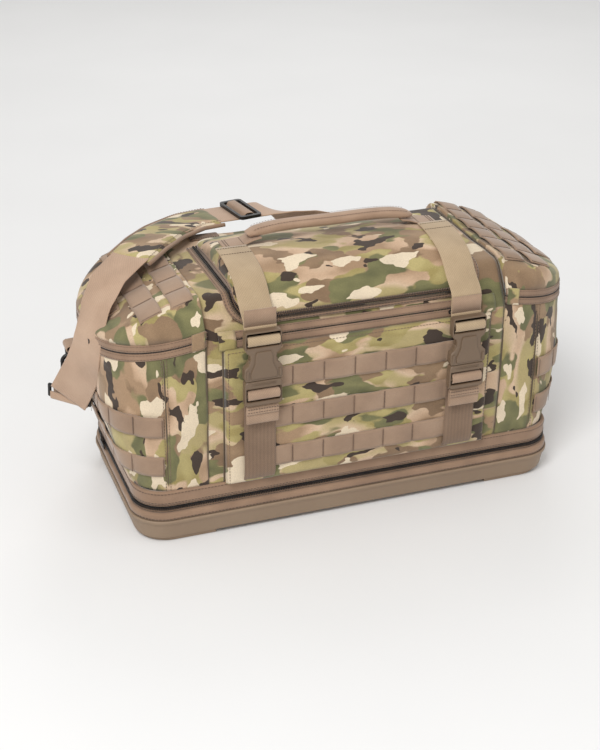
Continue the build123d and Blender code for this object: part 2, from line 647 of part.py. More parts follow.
d_centre = (D_HALF ** 2 - D_DEPTH ** 2) / (2 * D_DEPTH)
for side, name in ((-1, "left"), (1, "right")):
    lean = Vector(side * RING_LEAN, 0, -1).normalized()
    swing = radians(HOOK_SWING[side])
    hang = Vector(0, sin(swing), 0) + lean * cos(swing)
    pivot = Vector(side * RING_X, RING_Y, RING_Z)
    bow_centre = pivot - lean * d_centre
    ring_place = Plane(pivot, x_dir=(side, 0, 0), z_dir=-lean).location
    hook_plane = Plane(bow_centre + hang * d_centre, x_dir=(side, 0, 0), z_dir=-hang)
    turned = hook_plane.location * Location((0, 0, 0), (0, 0, RING_TURN[side]))
    for shape, where, node in (
        (d_ring_shape, ring_place, f"{name}_d_ring"),
        (hook_shape, hook_plane.location, f"{name}_snap_hook"),
        (gate_shape, hook_plane.location, f"{name}_hook_gate"),
        (strap_ring_shape, turned, f"{name}_strap_ring"),
    ):
        piece = shape.part.moved(where)
        piece.label = node
        export_step(piece, f"parts/{node}.step")
    gate_pivot = hook_plane.from_local_coords((EYE_R, 0, hook_low + EYE_R))
    print(name, "hook hangs along", hang, "from", hook_plane.origin, "gate turns at", gate_pivot,
          "about", hook_plane.y_dir)

# ---- zipper sliders ----
slider_places = {
    "lid_slider": Plane((LID_HALF + 6, 15, TOP_Z + TAPE + GAP), x_dir=(0, 1, 0), z_dir=(0, 0, 1)),
    "left_base_slider": Plane((-ZIP_L / 2 - COIL / 2 - GAP, 60, BASE_ZIP_Z), x_dir=(0, 1, 0),
                              z_dir=(-1, 0, 0)),
    "right_base_slider": Plane((ZIP_L / 2 + COIL / 2 + GAP, 60, BASE_ZIP_Z), x_dir=(0, 1, 0),
                               z_dir=(1, 0, 0)),
    "left_end_slider": Plane((-BODY_L / 2 - GAP, -24, END_SLIDER_Z), x_dir=(0, 1, 0), z_dir=(-1, 0, 0)),
    "right_end_slider": Plane((BODY_L / 2 + GAP, -24, END_SLIDER_Z), x_dir=(0, 1, 0), z_dir=(1, 0, 0)),
    "front_pocket_slider": Plane((STRAP_X, front_y - 2.4 - GAP, POCKET_TOP + ZIPPER_HALF),
                                 x_dir=(1, 0, 0), z_dir=(0, -1, 0)),
}
for name, plane in slider_places.items():
    with BuildPart() as slider:
        with BuildSketch(plane):
            Trapezoid(9, 12, 83, rotation=90)
        extrude(amount=3)
        fillet(slider.edges().filter_by(Axis(plane.origin, plane.z_dir)), 0.8)
        with BuildSketch(plane.offset(3)):
            with Locations((-9, 0)):
                SlotOverall(22, 6)
            with Locations((-16, 0)):
                Circle(1.6, mode=Mode.SUBTRACT)
        extrude(amount=1.2)
    slider.part.label = name
    export_step(slider.part, f"parts/{name}.step")
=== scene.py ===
"""Hard-based duffel bag: cloth, webbing, zippers and moulded parts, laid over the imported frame.

Lengths are millimetres until a mesh is made, where MM turns them into Blender's metres.
"""
import math

import bmesh
import bpy
import numpy as np
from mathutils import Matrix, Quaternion, Vector, noise


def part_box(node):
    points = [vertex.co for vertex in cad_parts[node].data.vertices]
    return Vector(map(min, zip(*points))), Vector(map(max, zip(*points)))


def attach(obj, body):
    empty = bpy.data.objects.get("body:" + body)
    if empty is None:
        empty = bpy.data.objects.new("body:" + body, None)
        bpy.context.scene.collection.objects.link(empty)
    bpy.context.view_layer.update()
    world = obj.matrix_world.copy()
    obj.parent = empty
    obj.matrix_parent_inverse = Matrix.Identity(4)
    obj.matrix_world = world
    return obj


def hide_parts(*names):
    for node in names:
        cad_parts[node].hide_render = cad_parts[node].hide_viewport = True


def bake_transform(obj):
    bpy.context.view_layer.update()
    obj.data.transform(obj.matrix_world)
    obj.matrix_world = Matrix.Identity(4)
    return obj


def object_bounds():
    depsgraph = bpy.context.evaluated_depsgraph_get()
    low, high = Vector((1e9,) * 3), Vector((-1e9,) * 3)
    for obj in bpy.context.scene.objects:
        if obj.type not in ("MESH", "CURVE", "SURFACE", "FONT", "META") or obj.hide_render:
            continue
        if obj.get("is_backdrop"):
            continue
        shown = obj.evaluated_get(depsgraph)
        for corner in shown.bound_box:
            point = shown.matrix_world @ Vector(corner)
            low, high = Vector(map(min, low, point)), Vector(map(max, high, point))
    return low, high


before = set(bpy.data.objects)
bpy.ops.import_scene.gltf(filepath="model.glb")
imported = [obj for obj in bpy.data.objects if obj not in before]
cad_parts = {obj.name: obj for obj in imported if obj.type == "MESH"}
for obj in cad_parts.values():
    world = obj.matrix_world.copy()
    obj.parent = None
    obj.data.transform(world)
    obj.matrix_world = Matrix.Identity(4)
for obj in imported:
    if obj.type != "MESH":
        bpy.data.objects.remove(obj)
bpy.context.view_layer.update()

MM = 0.001
ZIPPER_HALF = 9.5         # half width of a zipper with both tapes
WEB = 1.8                 # thickness of webbing
STRAP_W = 38.1            # width of the compression straps
ROW_W = 25.4              # width of the load webbing
TACK = 22                 # length of a bar-tack
UP = (0, 0, 1)
FORWARD = (0, -1, 0)
ALONG_X = (1, 0, 0)
BAG = "upper_bag"
SIDES = ((-1, "left"), (1, "right"))


def box_mm(node):
    """Lowest and highest corners of a CAD node, in millimetres."""
    low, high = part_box(node)
    return np.array(low) / MM, np.array(high) / MM


# ------------------------------------------------------------------ driving places, from the frame
tray_high = box_mm("base_tray")[1]
shell_low, shell_high = box_mm("main_shell")
HALF_MAIN, BODY_HALF_W, TOP_Z = shell_high
BODY_Z = shell_low[2]
LID_BACK = box_mm("lid_panel")[1][1]
BODY_HALF_L = box_mm("right_end_pocket")[1][0]
ROWS_TOP = box_mm("front_rows")[1][2]
SKIRT_LOW = box_mm("skirt_band")[0][2]
EAVE_Z = 238.0            # where the front wall starts to round over
END_PLAN_Z = 235          # height of the plan line that the ends' columns are counted on
GUSSET_X = 232            # place of the seam down each end
TACK_PITCH = 38.1         # between bar-tacks along the load webbing
FIRST_TACK = -85.8        # first bar-tack of the front rows
TAB_SPREAD = np.linspace(-10.5, 10.5, 9)   # across the tabs at the zippers' ends


# ------------------------------------------------------------------ meshes
SLOTS = {}                # material name to the slot it is usually used for


def make_object(name, verts, faces, material, body, slot=None, uv=None, smooth=True):
    """A mesh object from millimetre points, riding on a body and finished in a material."""
    mesh = bpy.data.meshes.new(name)
    mesh.from_pydata([tuple(v) for v in np.asarray(verts, float) * MM], [], faces)
    if uv is not None:
        layer = mesh.uv_layers.new(name="UVMap")
        uv = np.asarray(uv, float) * MM
        loops = np.zeros(len(mesh.loops), dtype=np.int32)
        mesh.loops.foreach_get("vertex_index", loops)
        layer.data.foreach_set("uv", uv[loops].ravel())
    mesh.update()
    obj = bpy.data.objects.new(name, mesh)
    bpy.context.scene.collection.objects.link(obj)
    work = bmesh.new()
    work.from_mesh(mesh)
    bmesh.ops.remove_doubles(work, verts=work.verts, dist=1e-6)
    bmesh.ops.recalc_face_normals(work, faces=work.faces)
    work.to_mesh(mesh)
    work.free()
    mesh.polygons.foreach_set("use_smooth", [smooth] * len(mesh.polygons))
    mesh.materials.append(material)
    if body:
        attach(obj, body)
    slot = slot or SLOTS[material.name]
    return obj


def grid_faces(rows, cols, wrap=False, skip=None):
    """Quads over a grid of points numbered row by row."""
    faces = []
    for r in range(rows - 1):
        for c in range(cols if wrap else cols - 1):
            if not (skip and skip(r, c)):
                n = (c + 1) % cols
                faces.append((r * cols + c, r * cols + n, (r + 1) * cols + n, (r + 1) * cols + c))
    return faces


def capped_faces(rings, around, flip=True):
    """Faces of a solid swept through rings of points, with both ends closed."""
    first = tuple(range(around))
    last = tuple((rings - 1) * around + k for k in range(around))
    return grid_faces(rings, around, wrap=True) + [first[::-1] if flip else first, last]


def cloth_grid(name, points, material, body, thickness=2.0, wrap=False, skip=None, slot=None, lined=False):
    """A sheet of fabric over a grid of points, with its thickness drawn inwards."""
    points = np.array(points)
    rows, cols = points.shape[:2]
    obj = make_object(name, points.reshape(-1, 3), grid_faces(rows, cols, wrap, skip), material, body, slot)
    middle = Vector((0, 0, 0.15))
    if sum((p.center - middle).dot(p.normal) * p.area for p in obj.data.polygons) < 0:
        obj.data.flip_normals()
    solid = obj.modifiers.new("Thickness", "SOLIDIFY")
    solid.thickness = thickness * MM
    solid.offset = -1.0
    solid.use_even_offset = False
    if lined:
        obj.data.materials.append(LINING)
        solid.material_offset = 1
    return obj


def normalised(v):
    v = np.asarray(v, float)
    return v / np.maximum(np.linalg.norm(v, axis=-1, keepdims=True), 1e-9)


def tangents_of(path, closed=False):
    path = np.asarray(path, float)
    if closed:
        return normalised(np.roll(path, -1, 0) - np.roll(path, 1, 0))
    return normalised(np.gradient(path, axis=0))


def distances(path):
    """How far along a polyline each of its points lies."""
    return np.concatenate([[0], np.cumsum(np.linalg.norm(np.diff(path, axis=0), axis=1))])


def evenly(path, count):
    """That many points evenly spaced along a polyline."""
    path = np.asarray(path, float)
    length = distances(path)
    at = np.linspace(0, length[-1], count)
    return np.stack([np.interp(at, length, line) for line in path.T], 1)


def resample(path, step, closed=False):
    """Points evenly spaced along a polyline, about step apart."""
    path = np.asarray(path, float)
    if closed:
        path = np.vstack([path, path[:1]])
    count = max(int(round(distances(path)[-1] / step)), 2)
    points = evenly(path, count + 1)
    return points[:-1] if closed else points


def smooth_path(points, step, rounds=3):
    """A rounded line through a few points, by cutting corners."""
    path = np.asarray(points, float)
    for _ in range(rounds):
        cut = [path[0]]
        for a, b in zip(path[:-1], path[1:]):
            cut += [a * 0.75 + b * 0.25, a * 0.25 + b * 0.75]
        path = np.array(cut + [path[-1]])
    return resample(path, step)


def wobble(point, scale, amount, seed=0.0):
    """Smooth noise for cloth, in millimetres."""
    p = Vector((point[0] / scale + seed, point[1] / scale, point[2] / scale))
    return amount * noise.noise(p)


def square_to(vectors, along):
    """Unit vectors with their part along the path taken away."""
    return normalised(vectors - along * (vectors * along).sum(1, keepdims=True))


def strap(name, path, across, width, material, body, thickness=WEB):
    """Flat webbing with rounded edges along a path; across gives the direction of its width."""
    path = np.asarray(path, float)
    along = tangents_of(path)
    side = square_to(normalised(np.broadcast_to(np.asarray(across, float), path.shape)), along)
    up = np.cross(along, side)
    half, thin = width / 2, thickness / 2
    top = [(-half + 0.5, thin * 0.8), (-half + 1.6, thin), (0, thin), (half - 1.6, thin), (half - 0.5, thin * 0.8)]
    section = [(-half, 0)] + top + [(half, 0)] + [(a, -b) for a, b in top[::-1]]
    points, uv = [], []
    for centre, far, wide, high in zip(path, distances(path), side, up):
        for a, b in section:
            points.append(centre + wide * a + high * b)
            uv.append((a, far))
    return make_object(name, points, capped_faces(len(path), len(section)), material, body, uv=uv)


def tube(path, radius, sides):
    """Points and faces of a round tube along a path."""
    path = np.asarray(path, float)
    along = tangents_of(path)
    normal = np.cross(along[0], (0.3, 0.5, 0.8))
    verts = []
    for i, centre in enumerate(path):
        normal = normalised(normal - along[i] * np.dot(normal, along[i]))
        other = np.cross(along[i], normal)
        for k in range(sides):
            turn = 2 * math.pi * k / sides
            verts.append(centre + radius * (math.cos(turn) * normal + math.sin(turn) * other))
    return verts, capped_faces(len(path), sides)


def repeated(name, centres, axes, shape, material, body, slot=None):
    """Many copies of one small solid; each of the three axes is one direction, or one for each centre."""
    base, base_faces = shape
    axes = [np.broadcast_to(np.asarray(axis, float), np.shape(centres)) for axis in axes]
    verts, faces = [], []
    for centre, a, b, c in zip(centres, *axes):
        start = len(verts)
        verts += [centre + a * p[0] + b * p[1] + c * p[2] for p in base]
        faces += [tuple(start + k for k in f) for f in base_faces]
    return make_object(name, verts, faces, material, body, slot)


def bead(length, width, height):
    """A low rounded lump, for a stitch or a zipper tooth: along, across, up."""
    verts, rings = [], ((-0.5, 0.45), (-0.3, 0.95), (0.3, 0.95), (0.5, 0.45))
    around = ((-1, 0), (-0.75, 0.7), (0, 1), (0.75, 0.7), (1, 0))
    for x, grow in rings:
        verts += [(x * length, y * width / 2 * grow, z * height * grow) for y, z in around]
    faces = grid_faces(len(rings), len(around))
    faces += [(4, 3, 2, 1, 0), (15, 16, 17, 18, 19), (0, 4, 9, 5), (5, 9, 14, 10), (10, 14, 19, 15)]
    return verts, faces


def stitches(name, path, up, material, body, slot=None, pitch=4.0, closed=False):
    """A row of thread stitches along a path that lies on a surface."""
    line = resample(path, pitch, closed)
    along = tangents_of(line, closed)
    up = normalised(np.broadcast_to(np.asarray(up, float), line.shape))
    return repeated(name, line, (along, np.cross(up, along), up), bead(pitch * 0.72, 0.8, 0.45),
                    material, body, slot)


def cross_stitches(name, x, y, z, up, body, pitch=3.0):
    """A dark row of stitches across a compression strap at x."""
    stitches(name, [(x - 17, y, z), (x + 17, y, z)], up, THREAD_DARK, body, pitch=pitch)


def teeth_row(name, line, up, size, body):
    """A row of zipper teeth along a line."""
    along = tangents_of(line)
    repeated(name, line, (along, np.cross(up, along), up), bead(*size), COIL, body)


def plate(name, outline, holes, thickness, origin, material, body, bevel=0.9, y_axis=UP):
    """A moulded plate with rounded edges, drawn on a plane that runs along the bag and along y_axis."""
    curve = bpy.data.curves.new(name, "CURVE")
    curve.dimensions = "2D"
    curve.fill_mode = "BOTH"
    curve.extrude = (thickness / 2 - bevel) * MM
    curve.bevel_depth = bevel * MM
    curve.bevel_resolution = 2
    curve.offset = -bevel * MM
    for loop in [outline] + holes:
        spline = curve.splines.new("POLY")
        spline.points.add(len(loop) - 1)
        for point, (x, y) in zip(spline.points, loop):
            point.co = (x * MM, y * MM, 0, 1)
        spline.use_cyclic_u = True
    source = bpy.data.objects.new(name + "_line", curve)
    bpy.context.scene.collection.objects.link(source)
    bpy.context.view_layer.update()
    mesh = bpy.data.meshes.new_from_object(source.evaluated_get(bpy.context.evaluated_depsgraph_get()))
    bpy.data.objects.remove(source)
    axes = np.array((ALONG_X, y_axis, np.cross(ALONG_X, y_axis)), float)
    verts = np.asarray(origin, float) + np.array([v.co for v in mesh.vertices]) / MM @ axes
    faces = [tuple(p.vertices) for p in mesh.polygons]
    bpy.data.meshes.remove(mesh)
    return make_object(name, verts, faces, material, body, smooth=False)


def rounded_outline(width, height, radius, steps=5, centre=(0, 0)):
    """Corners of a rounded rectangle, as a closed loop."""
    loop = []
    for corner, (sx, sy) in enumerate(((1, 1), (-1, 1), (-1, -1), (1, -1))):
        cx, cy = centre[0] + sx * (width / 2 - radius), centre[1] + sy * (height / 2 - radius)
        for k in range(steps + 1):
            turn = math.pi / 2 * (corner + k / steps)
            loop.append((cx + radius * math.cos(turn), cy + radius * math.sin(turn)))
    return loop


def rounded_box(count, wide, high, powers):
    """Points round a cross-section between an oval and a rectangle, for a padded piece."""
    turns = [2 * math.pi * k / count for k in range(count)]
    return [(math.copysign(abs(math.cos(q)) ** powers[0], math.cos(q)) * wide,
             math.copysign(abs(math.sin(q)) ** powers[1], math.sin(q)) * high) for q in turns]


def auto_smooth(obj, angle=35):
    obj.data.polygons.foreach_set("use_smooth", [True] * len(obj.data.polygons))
    obj.data.set_sharp_from_angle(angle=math.radians(angle))


def evaluated_mesh(obj):
    return bpy.data.meshes.new_from_object(obj.evaluated_get(bpy.context.evaluated_depsgraph_get()))


def puff(obj, pressure, cap, voxel=4.0, frames=20):
    """Swell a closed pad by cloth simulation, keep each point near its start, and apply it."""
    bpy.context.view_layer.objects.active = obj
    remesh = obj.modifiers.new("Voxels", "REMESH")
    remesh.mode = "VOXEL"
    remesh.voxel_size = voxel * MM
    bpy.context.view_layer.update()
    base = evaluated_mesh(obj)
    obj.modifiers.clear()
    material = obj.data.materials[0]
    obj.data = base
    if not base.materials:
        base.materials.append(material)
    start = np.array([v.co for v in base.vertices])
    cloth = obj.modifiers.new("Cloth", "CLOTH")
    cloth.settings.use_pressure = True
    cloth.settings.uniform_pressure_force = pressure
    cloth.settings.tension_stiffness = 25
    cloth.settings.bending_stiffness = 1.5
    cloth.settings.effector_weights.gravity = 0
    cloth.point_cache.frame_start = 1
    cloth.point_cache.frame_end = frames
    for number in range(1, frames + 1):
        bpy.context.scene.frame_set(number)
    swollen = evaluated_mesh(obj)
    moved = np.array([v.co for v in swollen.vertices]) - start
    far = np.linalg.norm(moved, axis=1, keepdims=True)
    moved *= np.minimum(1, cap * MM / np.maximum(far, 1e-9))
    swollen.vertices.foreach_set("co", (start + moved).ravel())
    obj.modifiers.clear()
    obj.data = swollen
    swollen.polygons.foreach_set("use_smooth", [True] * len(swollen.polygons))
    bpy.context.scene.frame_set(1)
    smooth = obj.modifiers.new("Smooth", "SUBSURF")
    smooth.levels = smooth.render_levels = 1


# ------------------------------------------------------------------ materials
def linear(red, green, blue):
    """Screen colour, 0 to 255, to the linear value that a shader takes."""
    values = (value / 255 for value in (red, green, blue))
    return (*(v / 12.92 if v <= 0.04045 else ((v + 0.055) / 1.055) ** 2.4 for v in values), 1.0)


class Shader:
    """A material being built, node by node."""

    def __init__(self, name, slot, **surface):
        self.material = bpy.data.materials.new(name)
        SLOTS[self.material.name] = slot
        self.material.use_nodes = True
        self.nodes = self.material.node_tree.nodes
        self.links = self.material.node_tree.links
        self.surface = self.nodes["Principled BSDF"].inputs
        for socket, value in {"Specular IOR Level": 0.4, "Sheen Roughness": 0.5, **surface}.items():
            self.surface[socket].default_value = value
        self.place = self.nodes.new("ShaderNodeTexCoord")

    def put(self, socket, value):
        if isinstance(value, bpy.types.NodeSocket):
            self.links.new(value, socket)
        else:
            socket.default_value = value

    def node(self, kind, output, settings, inputs):
        """A new node's output, after its settings and its inputs are filled in."""
        node = self.nodes.new("ShaderNode" + kind)
        for setting, value in settings.items():
            setattr(node, setting, value)
        for socket, value in inputs.items():
            self.put(node.inputs[socket], value)
        return node.outputs[output]

    def mapped(self, scale=(1, 1, 1), shift=(0, 0, 0), coordinate="Object"):
        return self.node("Mapping", "Vector", {}, {
            "Vector": self.place.outputs[coordinate], "Scale": scale, "Location": shift})

    def noise(self, vector, scale, detail=2.0, rough=0.5, distort=0.0, output="Fac"):
        return self.node("TexNoise", output, {}, {
            "Vector": vector, "Scale": scale, "Detail": detail, "Roughness": rough, "Distortion": distort})

    def wave(self, vector, scale, direction="DIAGONAL", distort=0.0):
        return self.node("TexWave", "Fac", {"bands_direction": direction}, {
            "Vector": vector, "Scale": scale, "Distortion": distort})

    def ramp(self, value, *stops):
        """Colours or grey levels blended between their places."""
        node = self.nodes.new("ShaderNodeValToRGB")
        self.put(node.inputs["Fac"], value)
        while len(node.color_ramp.elements) < len(stops):
            node.color_ramp.elements.new(0.5)
        for element, (at, colour) in zip(node.color_ramp.elements, stops):
            element.position = at
            element.color = colour if isinstance(colour, tuple) else (colour, colour, colour, 1)
        return node.outputs["Color"]

    def mask(self, value, low, high):
        return self.node("MapRange", "Result", {}, {"Value": value, "From Min": low, "From Max": high})

    def math(self, operation, a, b):
        return self.node("Math", 0, {"operation": operation}, {0: a, 1: b})

    def add(self, a, b, scale):
        """Vector a plus scale times vector b."""
        times = self.node("VectorMath", 0, {"operation": "SCALE"}, {0: b, "Scale": scale})
        return self.node("VectorMath", 0, {}, {0: a, 1: times})

    def mix(self, factor, a, b, blend="MIX"):
        return self.node("Mix", "Result", {"data_type": "RGBA", "blend_type": blend},
                         {"Factor": factor, "A": a, "B": b})

    def colour(self, value, *shades):
        """The surface's colour, darkened and lightened by each shade."""
        for shade in shades:
            value = self.mix(1.0, value, shade, "MULTIPLY")
        self.put(self.surface["Base Color"], value)

    def crossed_waves(self, scale):
        """The threads of plain cloth, over and under."""
        return self.math("MULTIPLY", self.wave(self.mapped(), scale), self.wave(self.mapped((-1, 1, 1)), scale))

    def bump(self, height, strength, distance):
        inputs = {"Height": height, "Strength": strength, "Distance": distance}
        if self.surface["Normal"].is_linked:
            inputs["Normal"] = self.surface["Normal"].links[0].from_socket
        self.links.new(self.node("Bump", "Normal", {}, inputs), self.surface["Normal"])


def camo_material(name, stretch=(1.0, 1.0, 2.1), shift=(0, 0, 0)):
    """Woven nylon with a woodland print: soft fields below, then blobs with ever crisper edges."""
    s = Shader(name, "camo_fabric", **{"Roughness": 0.86, "Sheen Weight": 0.25})
    where = s.mapped(stretch, shift)
    soft = s.add(where, s.noise(where, 15, 2, output="Color"), 0.05)
    ragged = s.noise(where, 52, 1.5, output="Color")
    base = s.ramp(s.noise(soft, 11, 1.0, 0.4), (0.38, linear(166, 136, 106)), (0.46, linear(204, 172, 142)),
                  (0.52, linear(214, 186, 156)), (0.60, linear(180, 163, 114)))

    khaki = s.ramp(s.noise(soft, 24, 1), (0.35, linear(184, 169, 114)), (0.65, linear(158, 142, 88)))
    brown = s.ramp(s.noise(soft, 20, 1), (0.35, linear(134, 108, 82)), (0.65, linear(158, 130, 100)))
    green = s.ramp(s.noise(soft, 30, 1), (0.3, linear(100, 99, 66)), (0.7, linear(130, 126, 84)))
    for colour, moved, edge, spots, low, high in (
            (khaki, (3.1, 1.7, 0.4), 0.014, (17, 1.2), 0.52, 0.545),
            (brown, (7.7, 2.3, 5.1), 0.02, (17, 1.2, 0.4), 0.565, 0.58),
            (green, None, 0.012, (18, 1.0, 0.35), 0.56, 0.585),
            (linear(66, 52, 42), (1.3, 8.8, 2.6), 0.026, (26, 0.8, 0.3), 0.64, 0.647),
            (linear(230, 212, 184), (5.2, 4.9, 9.3), 0.026, (24, 0.7, 0.3), 0.65, 0.657)):
        spot_at = s.add(s.mapped(stretch, moved) if moved else soft, ragged, edge)
        base = s.mix(s.mask(s.noise(spot_at, *spots), low, high), base, colour)
    s.colour(base, s.ramp(s.noise(s.mapped(), 1000, 2), (0.25, 0.82), (0.75, 1.1)),
             s.ramp(s.noise(s.mapped(), 26, 4), (0.3, 0.9), (0.7, 1.04)))
    s.bump(s.crossed_waves(160), 0.25, 0.0003)
    s.bump(s.noise(s.mapped(), 60, 4), 0.4, 0.0012)
    s.bump(s.noise(s.mapped(), 20, 2, distort=0.8), 0.5, 0.004)
    return s.material


def webbing_material(name, base, dark, light, ribs):
    """Nylon webbing: fine ribs along its length, crossed by small picks of thread."""
    s = Shader(name, "webbing", **{"Roughness": 0.75, "Sheen Weight": 0.3})
    lengthwise = s.wave(s.mapped(coordinate="UV"), ribs, "X")
    picks = s.wave(s.mapped(coordinate="UV"), 210, distort=0.4)
    base, dark, light = (linear(*colour) for colour in (base, dark, light))
    tone = s.mix(0.5, base, s.ramp(s.noise(s.mapped(), 22, 3), (0.3, dark), (0.5, base), (0.75, light)))
    twill = s.math("ADD", s.math("MULTIPLY", lengthwise, 0.5), s.math("MULTIPLY", picks, 0.5))
    s.colour(tone, s.ramp(twill, (0.1, 0.86), (0.8, 1.05)),
             s.ramp(s.noise(s.mapped(), 1300, 2), (0.3, 0.9), (0.7, 1.07)))
    s.bump(twill, 0.5, 0.0005)
    return s.material


def plastic_material(name, slot, base, dark, roughness=0.5, grain=900):
    """Moulded plastic with a fine sand texture, faint flow marks and scuffs."""
    s = Shader(name, slot, **{"Roughness": roughness, "Specular IOR Level": 0.45})
    s.colour(s.mix(s.mask(s.noise(s.mapped(), 9, 4), 0.35, 0.75), linear(*base), linear(*dark)))
    scuff = s.noise(s.mapped((1, 1, 4)), 120, 5, 0.65)
    s.put(s.surface["Roughness"], s.ramp(scuff, (0.3, roughness - 0.08), (0.75, roughness + 0.1)))
    s.bump(s.noise(s.mapped(), grain, 2), 0.12, 0.0003)
    return s.material


def fabric_material(name, slot, base, dark, scale=500, roughness=0.85):
    """Plain woven cloth in one dye, slightly uneven."""
    s = Shader(name, slot, **{"Roughness": roughness, "Sheen Weight": 0.3})
    tone = s.mix(s.mask(s.noise(s.mapped(), 30, 4), 0.3, 0.75), linear(*base), linear(*dark))
    s.colour(tone, s.ramp(s.noise(s.mapped(), 1400, 2), (0.3, 0.88), (0.7, 1.08)))
    s.bump(s.crossed_waves(scale * 0.4), 0.4, 0.0003)
    return s.material


CAMO = camo_material("camo_cloth")
CAMO_ENDS = camo_material("camo_cloth_upright", (1.9, 1.9, 1.0), (2.2, 6.1, 3.3))
CAMO_LID = camo_material("camo_cloth_lid", (1.0, 2.1, 2.1), (9.4, 3.2, 1.1))
WEBBING = webbing_material("tan_webbing", (168, 139, 115), (140, 114, 93), (192, 163, 137), 190)
# a lighter copy of the tan webbing: painted light for the strap over the lid's top
WEBBING_LIT = webbing_material("webbing_painted_light", (184, 160, 128), (160, 136, 106), (202, 178, 146), 190)
WEBBING_WIDE = webbing_material("wide_webbing", (186, 155, 130), (162, 133, 110), (204, 174, 148), 170)
WEBBING_RIBBED = webbing_material("ribbed_webbing", (128, 103, 82), (106, 84, 66), (144, 118, 96), 70)
BINDING = fabric_material("tan_tape", "binding", (160, 130, 106), (136, 109, 88))
GRIP = fabric_material("tan_grip_cloth", "grip_fabric", (178, 148, 124), (156, 127, 104), 700)
LINING = fabric_material("lining_cloth", "camo_fabric", (120, 98, 78), (98, 80, 63))
FOAM = fabric_material("closed_foam", "foam", (52, 50, 48), (40, 38, 36), 260, 0.95)
THREAD = fabric_material("tan_thread", "webbing", (132, 105, 84), (108, 86, 68), 900)
THREAD_DARK = fabric_material("dark_thread", "webbing", (84, 66, 52), (66, 52, 42), 900)
TRAY = plastic_material("tray_plastic", "tray_plastic", (152, 130, 108), (143, 121, 100), 0.55)
BUCKLE = plastic_material("buckle_plastic", "buckle_plastic", (118, 98, 79), (108, 89, 71), 0.4)
BLACK = plastic_material("black_plastic", "black_hardware", (34, 32, 31), (26, 25, 24), 0.38)
COIL = plastic_material("black_coil", "zipper_black", (38, 34, 32), (24, 22, 21), 0.32, 1500)
BLACK_TAPE = fabric_material("black_tape", "zipper_black", (40, 36, 33), (30, 27, 25), 800)
# dark colour of the seam cords: painted shade in the creases along the seams
SEAM_SHADE = fabric_material("seam_shadow", "camo_fabric", (100, 84, 64), (82, 68, 51), 900)
METAL = plastic_material("slider_enamel", "slider_metal", (66, 60, 56), (44, 40, 38), 0.35)
BOARD = plastic_material("floor_board", "board", (72, 70, 68), (60, 58, 56), 0.7, 400)


# ------------------------------------------------------------------ shared surfaces
def clamped_spline(points, start, end, count=24):
    """A smooth line through points, leaving and arriving along the given directions."""
    p = np.asarray(points, float)
    n, h = len(p), np.linalg.norm(np.diff(p, axis=0), axis=1)
    system, right = np.eye(n), np.zeros(p.shape)
    right[0], right[-1] = normalised(start), normalised(end)
    for i in range(1, n - 1):
        system[i, i - 1:i + 2] = 1 / h[i - 1], 2 / h[i - 1] + 2 / h[i], 1 / h[i]
        right[i] = 3 * ((p[i] - p[i - 1]) / h[i - 1] ** 2 + (p[i + 1] - p[i]) / h[i] ** 2)
    slope = np.linalg.solve(system, right)
    line = []
    for i in range(n - 1):
        for t in np.linspace(0, 1, count, endpoint=False):
            line.append((2 * t ** 3 - 3 * t ** 2 + 1) * p[i] + (3 * t ** 2 - 2 * t ** 3) * p[i + 1]
                        + h[i] * ((t ** 3 - 2 * t ** 2 + t) * slope[i]
                                  + (t ** 3 - t ** 2) * slope[i + 1]))
    return np.array(line + [p[-1]])


LEVELS = (BODY_Z, 135, 225, TOP_Z + 30)
LENGTH_FIT = np.polyfit(LEVELS, (268, 287, BODY_HALF_L, BODY_HALF_L - 6), 3)
WIDTH_FIT = np.polyfit(LEVELS, (120, 122.5, BODY_HALF_W, BODY_HALF_W), 3)
RADIUS_FIT = np.polyfit(LEVELS, (48, 70, 92, 92), 3)
FRONT_Y = -BODY_HALF_W - 1.5


def half_width(z):
    return float(np.polyval(WIDTH_FIT, z))


def rounding_line(grow=0.0):
    """The curve from the front wall to the flat top."""
    return clamped_spline([(FRONT_Y - grow, EAVE_Z), (-110.5 - 0.7 * grow, 268 + 0.7 * grow),
                           (-86, TOP_Z + grow)], (0, 1), (1, 0))


def top_z(y, grow=0.0):
    line = rounding_line(grow)
    return np.interp(-np.abs(y), line[:, 0], line[:, 1])


front_half = [(-half_width(z), z) for z in np.arange(BODY_Z, EAVE_Z, 4)]
front_half += [(max(y, -half_width(z)), z) for y, z in rounding_line()]
SECTION = resample(front_half + [(-y, z) for y, z in front_half[::-1]], 3.0)
SECTION_S = distances(SECTION)
SECTION_N = tangents_of(SECTION)[:, ::-1] * (-1, 1)
HALF_S = SECTION_S[-1] / 2


def over_bag(x, s, lift=0.0):
    """A point of the body's middle: x along the bag, s up the front, over the top, down the back."""
    y, z, ny, nz = (np.interp(s, SECTION_S, line) for line in (*SECTION.T, *SECTION_N.T))
    return np.array((x, y + ny * lift, z + nz * lift))


def section_normal(s):
    return np.array((0, np.interp(s, SECTION_S, SECTION_N[:, 0]),
                     np.interp(s, SECTION_S, SECTION_N[:, 1])))


def s_at_z(z, back=False):
    half = len(SECTION) // 2
    s = float(np.interp(z, SECTION[:half, 1], SECTION_S[:half]))
    return SECTION_S[-1] - s if back else s


def s_at_y(y):
    return HALF_S + y


def plan_size(z):
    """Half length, half width and corner radius of the bag's plan at height z."""
    return [float(np.polyval(fit, z)) for fit in (LENGTH_FIT, WIDTH_FIT, RADIUS_FIT)]


